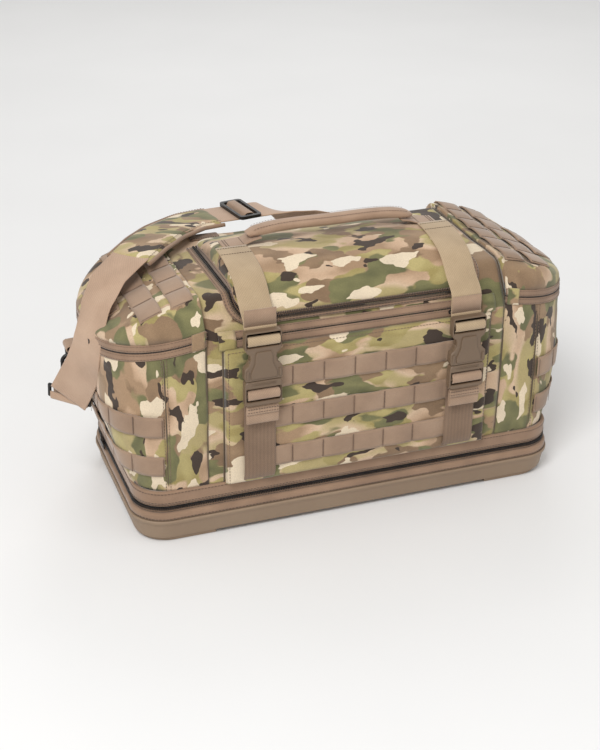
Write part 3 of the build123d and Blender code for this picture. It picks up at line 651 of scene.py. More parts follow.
def end_line(side, z, grow=0.0, inner=HALF_MAIN):
    """Plan line round one end of the bag at height z, from its front to its back."""
    length, width, radius = (value + grow for value in plan_size(z))
    centre_x, centre_y = length - radius, width - radius
    line = [(x, -width) for x in np.linspace(inner, centre_x, 9)]
    line += [(centre_x + radius * math.sin(q), -centre_y - radius * math.cos(q))
             for q in np.linspace(0, math.pi / 2, 22)[1:]]
    line += [(length, y) for y in np.linspace(-centre_y, centre_y, 10)[1:]]
    line += [(centre_x + radius * math.cos(q), centre_y + radius * math.sin(q))
             for q in np.linspace(0, math.pi / 2, 22)[1:]]
    line += [(x, width) for x in np.linspace(centre_x, inner, 9)[1:]]
    return np.array([(side * x, y) for x, y in line])


def zip_z(x):
    """Height of an end pocket's zipper."""
    return np.interp(abs(x), (150, HALF_MAIN, 300, 360), (268, 256, 232, 212))


CAP_LINE = clamped_spline([(180, 302), (237, 280), (275, 263), (297, 244), (305, 215)],
                          (57, -18), (3, -29))


def cap_slope(x, y):
    """Height of an end cap: the lower of its slope along the bag and its rounding across it."""
    along = np.interp(abs(x), CAP_LINE[:, 0], CAP_LINE[:, 1])
    across = top_z(y, 10.0)
    soft = 18.0
    gap = max(soft - abs(along - across), 0) / soft
    return min(along, across) - gap * gap * soft / 4


def inside_end(x, y, z=250):
    """How far a plan point lies inside the bag's end at height z."""
    length, width, radius = plan_size(z)
    out_x, out_y = abs(x) - length + radius, abs(y) - width + radius
    corner = math.hypot(max(out_x, 0), max(out_y, 0)) + min(max(out_x, out_y), 0)
    return radius - corner


def cap_z(x, y):
    """Height of an end cap's cloth, rounded down to the zipper at its edge."""
    edge = min(max(inside_end(x, y), 0) / 10, 1)
    low = zip_z(x) + ZIPPER_HALF - 0.8
    rise = 0.45 + 0.55 * math.sqrt(1 - (1 - edge) ** 2)
    return low + max(cap_slope(x, y) - low, 0.4) * rise


def cap_reach(x):
    """How far towards the front and back a strip can run over the cap at x."""
    return max((y for y in range(40, 103) if inside_end(x, y) >= 5), default=40)


def seam(value, places, depth=1.4):
    """The dip that a sewn seam makes in the cloth round it."""
    return -sum(depth * math.exp(-((value - place) / 2.2) ** 2) for place in places)


def zip_line(side, d, grow):
    """Line round an end of the bag, d above the middle of its zipper."""
    return [(*end_line(side, zip_z(x) + d, grow)[j], zip_z(x) + d)
            for j, (x, y) in enumerate(end_line(side, END_PLAN_Z))]


def lumps(at, start, pitch, height):
    """How far webbing stands off between bar-tacks."""
    phase = (at - start) / pitch
    return height * (1 - (2 * abs(phase - math.floor(phase) - 0.5)) ** 2.6)


def seam_cord(name, path, body, radius=0.9):
    """The turned-in line where two panels are sewn together, coloured dark as painted shade in its crease."""
    verts, faces = tube(resample(path, 4.0), radius, 6)
    make_object(name, verts, faces, SEAM_SHADE, body)


def bar_tacks(name, centres, up, out, body):
    """Dense tacks across webbing; up and out are one direction, or one for each centre."""
    steps = np.arange(-TACK / 2, TACK / 2, 1.15)
    up, out = (np.broadcast_to(np.asarray(v, float), np.shape(centres)) for v in (up, out))
    spots = [centre + way * k for centre, way in zip(np.asarray(centres), up) for k in steps]
    up, out = (np.repeat(v, len(steps), axis=0) for v in (up, out))
    repeated(name, spots, (np.cross(up, out), up, out), bead(1.5, 1.05, 0.45), THREAD, body)


# ------------------------------------------------------------------ tray, its binding and the base zipper
def ring_points(half_l, half_w, radius, z, steps=12, straight=26):
    """A rounded rectangle of points at height z, with its straights divided."""
    loop = []
    corners = rounded_outline(2 * half_l, 2 * half_w, radius, steps)
    for k, (x, y) in enumerate(corners):
        loop.append((x, y, z))
        if (k + 1) % (steps + 1) == 0:
            nx, ny = corners[(k + 1) % len(corners)]
            for t in np.linspace(0, 1, straight + 2)[1:-1]:
                loop.append((x + (nx - x) * t, y + (ny - y) * t, z))
    return loop


def uneven_rings(profile, half_l, half_w, radius, straight, scale, amount, seed=0.0):
    """Rings of a tape that runs round the bag, as uneven as cloth."""
    rows = []
    for grow, z in profile:
        row = []
        for x, y, _ in ring_points(half_l + grow, half_w + grow, radius + grow, z, straight=straight):
            swell = 1 + wobble((x, y, z), scale, amount, seed) / 300
            row.append((x * swell, y * swell, z))
        rows.append(row)
    return rows


half_l, half_w, rim = tray_high
profile = [(-7.5, 5), (-6.6, 4.9), (-5.4, 5.6), (-4.6, 7.4), (-1.9, rim - 7), (-1.1, rim - 5.2),
           (0.2, rim - 4.4), (0.9, rim - 3.2), (0.9, rim - 0.9), (0.2, rim), (-2.6, rim),
           (-3.2, rim - 0.8), (-3.6, rim - 4), (-6, 9.2), (-8.5, 8)]
rows = [ring_points(half_l + grow, half_w + grow, 42 + grow, z) for grow, z in profile]
tray = make_object("tray_shell", np.vstack(rows), capped_faces(len(rows), len(rows[0]), False), TRAY, "base")
auto_smooth(tray)
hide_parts("base_tray")
for index, (sx, sy) in enumerate(((1, 1), (-1, 1), (-1, -1), (1, -1))):
    corner = [p for p in rounded_outline(2 * half_l - 16, 2 * half_w - 16, 38, 10)
              if p[0] > 175 and p[1] > 65]
    outline = [(176, 66)] + [(half_l - 8, 66)] + corner + [(176, half_w - 8)]
    outline = [(sx * x, sy * y) for x, y in outline]
    if sx * sy < 0:
        outline = outline[::-1]
    plate(f"tray_foot_{index}", outline, [], 5.4, (0, 0, 2.7), TRAY, "base", 1.2, (0, 1, 0))

rows = uneven_rings(((-7, 31.3), (-2.2, 31.2), (-0.9, 32.2), (-0.5, 35), (-0.6, 38.5), (-1.6, 40.6),
                     (-3.4, 41.2), (-7, 41.1)), half_l, half_w, 42, 26, 24, 0.5)
binding = cloth_grid("tray_edge_binding", rows, BINDING, "base", 0.8, wrap=True)
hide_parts("tray_binding")
stitches("binding_stitch_low", [(x, y, 33.2) for x, y, _ in ring_points(half_l - 0.5, half_w - 0.5, 41.5, 0)],
         UP, THREAD_DARK, "base", "binding", 4.2, closed=True)


def base_track(grow, z, step=None):
    """The base zipper's line, open where the hinge strip runs along the back."""
    loop = np.array(ring_points(267 + grow, 121.5 + grow, 38 + grow, z, 14, 60))
    keep = ~((np.abs(loop[:, 0]) < 249) & (loop[:, 1] > 100))
    start = int(np.argmax(keep & ~np.roll(keep, 1)))
    loop, keep = np.roll(loop, -start, 0), np.roll(keep, -start)
    line = loop[keep]
    line[0, 0], line[-1, 0] = math.copysign(249, line[0, 0]), math.copysign(249, line[-1, 0])
    return resample(line, step) if step else evenly(line, 420)


for level, body, z_far, z_near, z_coil, node in (
        ("lower", "base", 41.0, 43.6, 44.7, "base_zipper_lower"),
        ("upper", BAG, SKIRT_LOW, 48.6, 47.4, "base_zipper_upper")):
    lines = [base_track(grow, z) for grow, z in
             ((0.6, z_far), (0.9, (z_far + z_near) / 2), (0.3, z_near), (-1.0, z_coil))]
    tape = cloth_grid(f"base_tape_{level}", lines, BINDING, body, 1.0, slot="zipper_black")
    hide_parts(node)
    teeth = base_track(0.9, z_coil, 2.1)
    along = tangents_of(teeth)
    out = np.cross(along, (0, 0, 1))
    out *= np.sign((out[:, :2] * teeth[:, :2]).sum(1))[:, None]
    repeated(f"base_coil_{level}", teeth, (along, UP, out), bead(1.5, 2.3, 1.3), COIL, body)
    stitches(f"base_tape_stitch_{level}", base_track(1.0, z_far + (0.9 if level == "lower" else -0.9)), UP,
             THREAD_DARK, body, "zipper_tan", 3.6)

rows = [[(x, 121.2 + 0.5 * math.sin((z - 41) / 10 * math.pi), z) for x in np.linspace(-248, 248, 120)]
        for z in np.linspace(41, 51, 9)]
hinge_strip = cloth_grid("base_hinge_cloth", rows, BINDING, None, 1.4)
hinge_strip.modifiers.clear()
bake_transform(hinge_strip)
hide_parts("base_hinge_strip")

rows = uneven_rings(((-0.4, 50.8), (0.8, 51.2), (1.1, 53.5), (0.8, 58), (0.9, 63), (1.0, 66.2), (0.2, 67.6),
                     (-3.5, 68)), 267.5, 122, 38, 50, 40, 0.7, 3.0)
skirt = cloth_grid("skirt_tape", rows, BINDING, BAG, 1.6, wrap=True)
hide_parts("skirt_band")
for index, z in enumerate((52.8, 65.0)):
    stitches(f"skirt_stitch_{index}", [(x, y, z) for x, y, _ in ring_points(268.6, 123.1, 39, 0)],
             UP, THREAD_DARK, BAG, "binding", closed=True)


# ------------------------------------------------------------------ body cloth
def body_point(x, s):
    point = over_bag(x, s)
    lift = wobble(point, 70, 1.6) + wobble(point, 26, 0.7, 4.0)
    lift += seam(abs(x), (HALF_MAIN - 1,), 1.6)
    return over_bag(x, s, lift)


OPEN_FRONT, OPEN_BACK = s_at_z(265), s_at_y(56)
OPEN_HALF_L = 139
x_columns = np.concatenate([np.linspace(-HALF_MAIN, -OPEN_HALF_L, 11),
                            np.linspace(-OPEN_HALF_L, OPEN_HALF_L, 56)[1:],
                            np.linspace(OPEN_HALF_L, HALF_MAIN, 11)[1:]])
s_rows = np.concatenate([np.linspace(0, OPEN_FRONT, 66), np.linspace(OPEN_FRONT, OPEN_BACK, 56)[1:],
                         np.linspace(OPEN_BACK, SECTION_S[-1], 80)[1:]])
grid = np.array([[body_point(x, s) for x in x_columns] for s in s_rows])


def in_opening(r, c):
    return (abs((x_columns[c] + x_columns[c + 1]) / 2) < OPEN_HALF_L
            and OPEN_FRONT < (s_rows[r] + s_rows[r + 1]) / 2 < OPEN_BACK)


shell = cloth_grid("body_cloth", grid, CAMO, BAG, 3.0, skip=in_opening, lined=True)
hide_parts("main_shell")

for side, name in SIDES:
    ys = np.linspace(-118, 118, 40)
    divider = [[(side * (HALF_MAIN - 2), y, BODY_Z + 2 + t * (top_z(y, -3) - BODY_Z - 2)) for y in ys]
               for t in np.linspace(0, 1, 24)]
    cloth_grid(f"{name}_inner_wall", divider, LINING, BAG, 2.0)

floor_loop = ring_points(265, 117, 45, BODY_Z + 1.2, 10, 20)
inner = [[(x * t, y * t, z) for x, y, z in floor_loop] for t in np.linspace(1, 0.001, 14)]
cloth_grid("bag_floor_cloth", inner, LINING, BAG, 1.6, wrap=True)

for side, name in SIDES:
    # lower part of the end, up to the zipper
    reference = end_line(side, END_PLAN_Z)
    grid = np.zeros((60, len(reference), 3))
    for j, (plan_x, _) in enumerate(reference):
        top = zip_z(plan_x) - ZIPPER_HALF + 0.6
        for k, f in enumerate(np.linspace(0, 1, 60)):
            z = BODY_Z + f * (top - BODY_Z)
            point = end_line(side, z)[j]
            here = (point[0], point[1], z)
            lift = wobble(here, 65, 2.0, 1.0) + wobble(here, 24, 0.8, 7.0)
            if abs(point[1]) > 100:
                lift += seam(abs(point[0]), (HALF_MAIN + 1, GUSSET_X))
            lift *= min(1, f * 8, (1 - f) * 8 + 0.15)
            lift = max(min(lift, 1.4), -3)
            away = normalised(point - (side * 200, 0))
            if abs(point[0]) < 205:
                away = np.array((0, math.copysign(1, point[1])))
            grid[k, j] = (*(point + away * lift), z)
    end = cloth_grid(f"{name}_end_cloth", grid, CAMO_ENDS, BAG, 2.6)
    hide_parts(f"{name}_end_pocket")

    # zipper round the end
    flap = "right_flap" if side > 0 else BAG
    for level, low, high, body in (("lower", -ZIPPER_HALF, -0.5, BAG), ("upper", 0.5, ZIPPER_HALF, flap)):
        lines = [zip_line(side, d, 0.7 if abs(d) > 2 else 0.2) for d in np.linspace(low, high, 5)]
        tape = cloth_grid(f"{name}_end_tape_{level}", lines, BINDING, body, 1.4, slot="zipper_tan")
        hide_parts(f"{name}_end_zipper_{level}")
        for k, d in enumerate((low + 1.6, high - 2.2) if level == "lower" else (low + 2.2, high - 1.6)):
            stitches(f"{name}_end_tape_stitch_{level}_{k}", zip_line(side, d, 0.8), UP, THREAD, body, "zipper_tan")
    cloth_grid(f"{name}_end_slit", [zip_line(side, d, -0.7) for d in (-1.4, 0, 1.4)], BLACK_TAPE, BAG, 0.8)
    teeth = resample(zip_line(side, 0, 0.0), 1.9)
    teeth_row(f"{name}_end_coil", teeth, np.cross(tangents_of(teeth), UP) * side, (1.3, 1.9, 0.9), BAG)

    # cap over the end
    rows = []
    base_line = end_line(side, 248, 0.0, HALF_MAIN + 1.2)
    spread = np.concatenate([[0, 0, 0.012, 0.03, 0.06], np.linspace(0.1, 1, 22)])
    for k, v in enumerate(spread):
        row = []
        for x, y in base_line:
            spine_x = side * min(abs(x), 236)
            px, py = x + (spine_x - x) * v, y * (1 - v)
            z = zip_z(x) + ZIPPER_HALF - 0.8
            if k:
                z = cap_z(px, py)
                calm = min(1, v * 6)
                z += (wobble((px, py, z), 55, 3.2, 2.0) + wobble((px, py, z), 22, 1.1, 5.0)) * calm
                z += seam(abs(py), (90.5,), 1.6) * calm
            row.append((px, py, z))
        ends = [(x, y, min(z, top_z(y) - 1)) for x, y, z in (row[0], row[-1])]
        rows.append(ends[:1] + row + ends[1:])
    cap = cloth_grid(f"{name}_cap_cloth", rows, CAMO_ENDS, flap, 2.2)
    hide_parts(f"{name}_end_cap")

    # strips over the cap
    parts, tacks, tack_ups, tack_outs = [], [], [], []
    for index, strip_x in enumerate((204, 240, 275)):
        reach = cap_reach(strip_x + ROW_W / 2)
        pitch = 2 * reach / round(2 * reach / 37)
        lines = []
        for x in side * (strip_x + np.linspace(-ROW_W / 2, ROW_W / 2, 7)):
            lines.append([(x, y, cap_z(x, y) + 1.6 + lumps(y, -reach, pitch, 2.4))
                          for y in np.linspace(-reach, reach, 97)])
        parts.append(cloth_grid(f"{name}_cap_strip_{index}", lines, WEBBING, flap, 1.5))
        slope = (cap_z(strip_x + 8, 0) - cap_z(strip_x - 8, 0)) / 16
        up = normalised((side, 0, slope))
        for y in np.linspace(-reach, reach, int(round(2 * reach / pitch)) + 1):
            y = float(np.clip(y, 1.5 - reach, reach - 1.5))
            tacks.append((side * strip_x, y, cap_z(side * strip_x, y) + 2.2))
            tack_ups.append(up)
            tack_outs.append(normalised(np.cross(up, (0, 1, 0))) * side)
    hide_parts(f"{name}_cap_strips")
    tack_outs = [t if t[2] > 0 else -t for t in tack_outs]
    bar_tacks(f"{name}_cap_tacks", tacks, tack_ups, tack_outs, flap)

    # rows round the end
    first = None
    for index, top in enumerate((165, 114)):
        lines = []
        for z in np.linspace(top - ROW_W, top, 7):
            line = resample([p for p in end_line(side, z, 0.0, 236) if abs(p[0]) > 235.5], 2.6)
            at = np.linspace(0, len(line) - 1, 120)
            line = np.stack([np.interp(at, range(len(line)), values) for values in line.T], 1)
            length = distances(line)
            along = tangents_of(line)
            out = np.stack([along[:, 1], -along[:, 0]], 1) * side
            pitch = length[-1] / round(length[-1] / TACK_PITCH)
            lift = [1.2 + lumps(d, 0, pitch, 1.9) for d in length]
            lines.append([(*(p + o * g), z) for p, o, g in zip(line, out, lift)])
            if abs(z - top + ROW_W / 2) < 1:
                spots = [int(np.argmin(abs(length - d))) for d in np.arange(0, length[-1] + 1, pitch)]
                tack_at = [(*(line[i] + out[i] * 2.1), z) for i in spots]
                tack_out = [(*out[i], 0) for i in spots]
        piece = cloth_grid(f"{name}_end_row_{index}", lines, WEBBING, BAG, 1.5)
        bar_tacks(f"{name}_end_tacks_{index}", tack_at, UP, tack_out, BAG)
        first = first or piece
    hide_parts(f"{name}_end_rows")
    for y_side, face in ((-1, "front"), (1, "back")):
        levels = np.linspace(BODY_Z + 2, zip_z(GUSSET_X) - 12, 50)
        for k, gap in enumerate((-2.6, 0, 2.6)):
            line = []
            for z in levels:
                plan = end_line(side, z)
                plan = plan[plan[:, 1] * y_side > 60]
                plan = plan[np.argsort(np.abs(plan[:, 0]))]
                y = float(np.interp(GUSSET_X + gap, np.abs(plan[:, 0]), plan[:, 1]))
                line.append((side * (GUSSET_X + gap), y + y_side * 0.3, z))
            line = np.array(line)
            if gap:
                stitches(f"{name}_gusset_stitch_{face}_{k}", line, (0, y_side, 0), THREAD, BAG, "camo_fabric")
            else:
                seam_cord(f"{name}_gusset_seam_{face}", line - (0, y_side * 1.3, 0), BAG, 0.8)
        x = side * (HALF_MAIN + 0.6)
        edge_line = [(x, y_side * (half_width(z) - 0.9), z) for z in np.linspace(BODY_Z, 236, 40)]
        edge_line += [(x, y_side * (-y - 1.3), z - 1.0) for y, z in rounding_line()[4:]]
        seam_cord(f"{name}_body_seam_{face}", edge_line, BAG)
        lines = [[(side * x, y_side * (half_width(zip_z(x) + d) + 1.6), zip_z(x) + d)
                  for x in np.linspace(186, 201, 8)] for d in TAB_SPREAD]
        cloth_grid(f"{name}_end_zip_tab_{face}", lines, CAMO, BAG, 1.3)
    line = [(side * (HALF_MAIN + 0.6), y, TOP_Z - 0.4) for y in np.linspace(-86, 86, 40)]
    seam_cord(f"{name}_top_seam", line, BAG)


# ------------------------------------------------------------------ front pocket and its rows
def pocket_y(x, z):
    """Face of the front pocket: a soft panel, rounded at its edges."""
    side = min(1.0, (165 - abs(x)) / 9)
    lower, upper = min(1.0, (z - 67) / 7), min(1.0, (240 - z) / 9)
    edge = max(min(side, lower, upper), 0)
    puffed = 6.6 * math.sqrt(max(1 - (1 - edge) ** 2, 0))
    swell = wobble((x, 0, z), 80, 1.2, 8.0) + wobble((x, 0, z), 27, 0.7, 2.0)
    return FRONT_Y - 0.4 - puffed - swell * edge


xs, zs = np.linspace(-165, 165, 110), np.linspace(67.5, 240, 70)
grid = np.array([[(x, pocket_y(x, z), z) for x in xs] for z in zs])
pocket = cloth_grid("front_pocket_cloth", grid, CAMO, BAG, 2.4)
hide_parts("front_pocket")
for side, name in SIDES:
    line = [(side * 165.6, -half_width(z) - 0.3, z) for z in np.linspace(68, 240, 50)]
    seam_cord(f"pocket_edge_{name}", line, BAG, 1.0)
for k, x in enumerate((-161.5, 161.5)):
    stitches(f"pocket_side_stitch_{k}", [(x, pocket_y(x, z) - 0.2, z) for z in np.linspace(70, 236, 60)], FORWARD,
             THREAD, BAG, "camo_fabric")
stitches("pocket_top_stitch", [(x, pocket_y(x, 237) - 0.2, 237) for x in np.linspace(-160, 160, 90)], FORWARD,
         THREAD, BAG, "camo_fabric")



def row_face(x, z):
    """Front of the pocket under a row of webbing, bridged where the pocket's edge falls away."""
    return min(pocket_y(x, z), FRONT_Y - 6.4)


first = None
tacks = []
for index in range(3):
    top = ROWS_TOP - index * 2 * ROW_W
    lines = [[(x, row_face(x, z) - 0.9 - lumps(x, FIRST_TACK, TACK_PITCH, 1.7), z)
              for x in np.linspace(-141, 141, 230)] for z in np.linspace(top - ROW_W, top, 7)]
    piece = cloth_grid(f"front_row_{index}", lines, WEBBING, BAG, 1.5)
    first = first or piece
    middle = top - ROW_W / 2
    tacks += [(x, row_face(x, middle) - 1.6, middle) for x in np.arange(FIRST_TACK, 90, TACK_PITCH)]
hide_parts("front_rows")
bar_tacks("front_row_tacks", tacks, UP, FORWARD, BAG)

# zipper over the pocket
POCKET_ZIP = s_at_z(249.5)
for level, low, high in (("lower", -ZIPPER_HALF, -0.5), ("upper", 0.5, ZIPPER_HALF)):
    lines = [[over_bag(x, POCKET_ZIP + d, 2.0 if abs(d) > 2 else 1.3) for x in np.linspace(-165, 165, 90)]
             for d in np.linspace(low, high, 5)]
    tape = cloth_grid(f"pocket_tape_{level}", lines, BINDING, BAG, 1.3, slot="zipper_tan")
    for k, d in enumerate((low + 1.5, high - 1.5)):
        stitches(f"pocket_tape_stitch_{level}_{k}", [over_bag(x, POCKET_ZIP + d, 2.1) for x in (-164, 0, 164)],
                 section_normal(POCKET_ZIP), THREAD, BAG, "zipper_tan")
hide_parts("front_pocket_zipper")
teeth = resample([over_bag(x, POCKET_ZIP, 0.9) for x in (-163, 0, 163)], 1.9)
up = np.broadcast_to(section_normal(POCKET_ZIP), teeth.shape)
teeth_row("pocket_coil", teeth, up, (1.3, 1.9, 0.9), BAG)
for side, name in SIDES:
    lines = [[over_bag(side * x, POCKET_ZIP + d, 2.6 + 0.6 * math.cos(d / 11 * math.pi / 2))
              for x in (150, 154, 160, 166, 170)] for d in TAB_SPREAD]
    cloth_grid(f"pocket_zip_tab_{name}", lines, CAMO, BAG, 1.4)

# ------------------------------------------------------------------ lid and its zipper
LID_FRONT, LID_HALF_L, LID_R = -118.0, 145, 22.0
LID_LOW = 270.4           # height of the lid's front edge
LID_MIDDLE_Y = -20
ARCH = clamped_spline([(-116.5, 270.2), (-98, 303), (-28, 321), (LID_BACK, 299.5)], (0.05, 1), (1, -0.25))


def lid_top(y):
    """Height of the lid's arch at y, the same anywhere in front of its first point."""
    return float(np.interp(max(y, ARCH[0, 0]), ARCH[:, 0], ARCH[:, 1]))


def lid_base(y):
    return max(float(top_z(y, 2.2)), LID_LOW)


def lid_side(y):
    """Half length of the lid at y, drawn in round its front corners."""
    into = max(LID_FRONT + LID_R - y, y - LID_BACK + LID_R, 0)
    return LID_HALF_L - LID_R + math.sqrt(max(LID_R ** 2 - into ** 2, 0))


def lid_edge(grow=0.0, whole=True):
    """Plan line round the lid: back left, front, back right and, if whole, the back."""
    left = [(-LID_HALF_L - grow, y) for y in np.linspace(LID_BACK - LID_R, LID_FRONT + LID_R, 40)]
    r = LID_R + grow
    left += [(-LID_HALF_L + LID_R - r * math.cos(q), LID_FRONT + LID_R - r * math.sin(q))
             for q in np.linspace(0, math.pi / 2, 12)[1:]]
    across = np.linspace(-LID_HALF_L + LID_R, LID_HALF_L - LID_R, 60)[1:-1]
    front = [(x, LID_FRONT - grow) for x in across]
    line = left + front + [(-x, y) for x, y in left[::-1]]
    if whole:
        corner = [(LID_HALF_L - LID_R + r * math.cos(q), LID_BACK - LID_R + r * math.sin(q))
                  for q in np.linspace(0, math.pi / 2, 12)[1:]]
        line += corner + [(x, LID_BACK + grow) for x in across[::-1]]
        line += [(-x, y) for x, y in corner[::-1]]
    return np.array(line)


def lid_height(x, y):
    inside = max(lid_side(y) - abs(x), 0)
    round_side = math.sqrt(max(1 - (1 - min(inside / 13, 1)) ** 2, 0))
    round_back = math.sqrt(max(1 - (1 - min((LID_BACK - y) / 5, 1)) ** 2, 0))
    low, high = lid_base(y), lid_top(y)
    calm = min(inside / 25, 1)
    return low + max(high - low, 0) * (0.42 + 0.58 * round_side) * (0.5 + 0.5 * round_back) + calm * (
        wobble((x, y, 0), 75, 2.2, 6.0) + wobble((x, y, 0), 28, 0.9, 3.0))


edge = lid_edge()
centre = np.array((0.0, LID_MIDDLE_Y))
rows = [[(x, y, lid_base(y) - 0.2) for x, y in edge]]
for v in np.concatenate([[0.0, 0.008, 0.02, 0.04, 0.07], np.linspace(0.11, 0.999, 34)]):
    row = []
    for x, y in edge:
        px, py = np.array((x, y)) * (1 - v) + centre * v
        row.append((px, py, lid_height(px, py)))
    rows.append(row)
lid = cloth_grid("lid_cloth", rows, CAMO_LID, "lid", 2.6, wrap=True, lined=True)
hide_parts("lid_panel")
rows = [[(x, y, lid_base(y) + 1.4) for x, y in (lid_edge(-3.5) - centre) * (1 - v) + centre]
        for v in np.linspace(0, 0.999, 26)]
cloth_grid("lid_lining", rows, LINING, "lid", 1.4, wrap=True)

rows = []
for t in np.linspace(0, 1, 6):
    row = []
    for x, y in lid_edge(0.6, False):
        wall = max((lid_top(y) - lid_base(y)) * 0.42, 4.0)
        row.append((x, y, lid_base(y) - 0.4 + t * min(9.0, wall + 0.4)))
    rows.append(row)
tape = cloth_grid("lid_tape_upper", rows, BINDING, "lid", 1.4, slot="zipper_black")
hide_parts("lid_zipper_upper")
line = [(x, y, lid_base(y) + min(6.6, max((lid_top(y) - lid_base(y)) * 0.3, 2))) for x, y in lid_edge(1.4, False)]
stitches("lid_tape_stitch", line, UP, THREAD_DARK, "lid", "zipper_tan")


def lid_track(grow, lift):
    """A line on the body round the lid, grow outside its edge, with rounded front corners."""
    front, back = s_at_z(270.5) - grow, s_at_y(50)
    half, radius = 146 + grow, 20 + grow
    left = [(-half, s) for s in np.linspace(back, front + radius, 46)]
    left += [(-half + radius - radius * math.cos(q), front + radius - radius * math.sin(q))
             for q in np.linspace(0, math.pi / 2, 14)[1:]]
    line = left + [(x, front) for x in np.linspace(-half + radius, half - radius, 60)[1:-1]]
    line += [(-x, s) for x, s in left[::-1]]
    rise_s = s_at_y(-96)
    points = []
    for x, s in line:
        forward = float(np.clip((rise_s - s) / (rise_s - s_at_z(270.5)), 0, 1))
        forward *= float(np.interp(grow, (0, 11), (8.5, 1.5)))
        points.append(over_bag(x, s, lift) - (0, forward, 0))
    return np.array(points)


lines = [lid_track(g, lift) for g, lift in ((-2.4, 0.6), (0.8, 1.6), (4, 1.9), (8, 1.8), (11, 1.6))]
tape = cloth_grid("lid_tape_lower", lines, BINDING, BAG, 1.3, slot="zipper_black")
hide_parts("lid_zipper_lower")
seam_cord("lid_zip_second_line", lid_track(4.4, 1.9), BAG, 0.8)
for k, g in enumerate((6.2, 9.6)):
    stitches(f"lid_tape_lower_stitch_{k}", lid_track(g, 2.0), (0, -0.4, 0.9), THREAD_DARK, BAG, "zipper_tan")
for name, g, body in (("lower", 2.0, BAG), ("upper", -1.7, "lid")):
    teeth = resample(lid_track(g, 2.2), 2.1)
    out = [section_normal(s_at_z(min(z, 291.5)) if y < -80 else HALF_S) for x, y, z in teeth]
    teeth_row(f"lid_coil_{name}", teeth, normalised(out), (1.5, 3.2, 1.8), body)


# ------------------------------------------------------------------ compression straps and buckles
def in_plane(x, points):
    """Points drawn front-to-back at x along the bag."""
    return np.array([(x, y, z) for y, z in points])


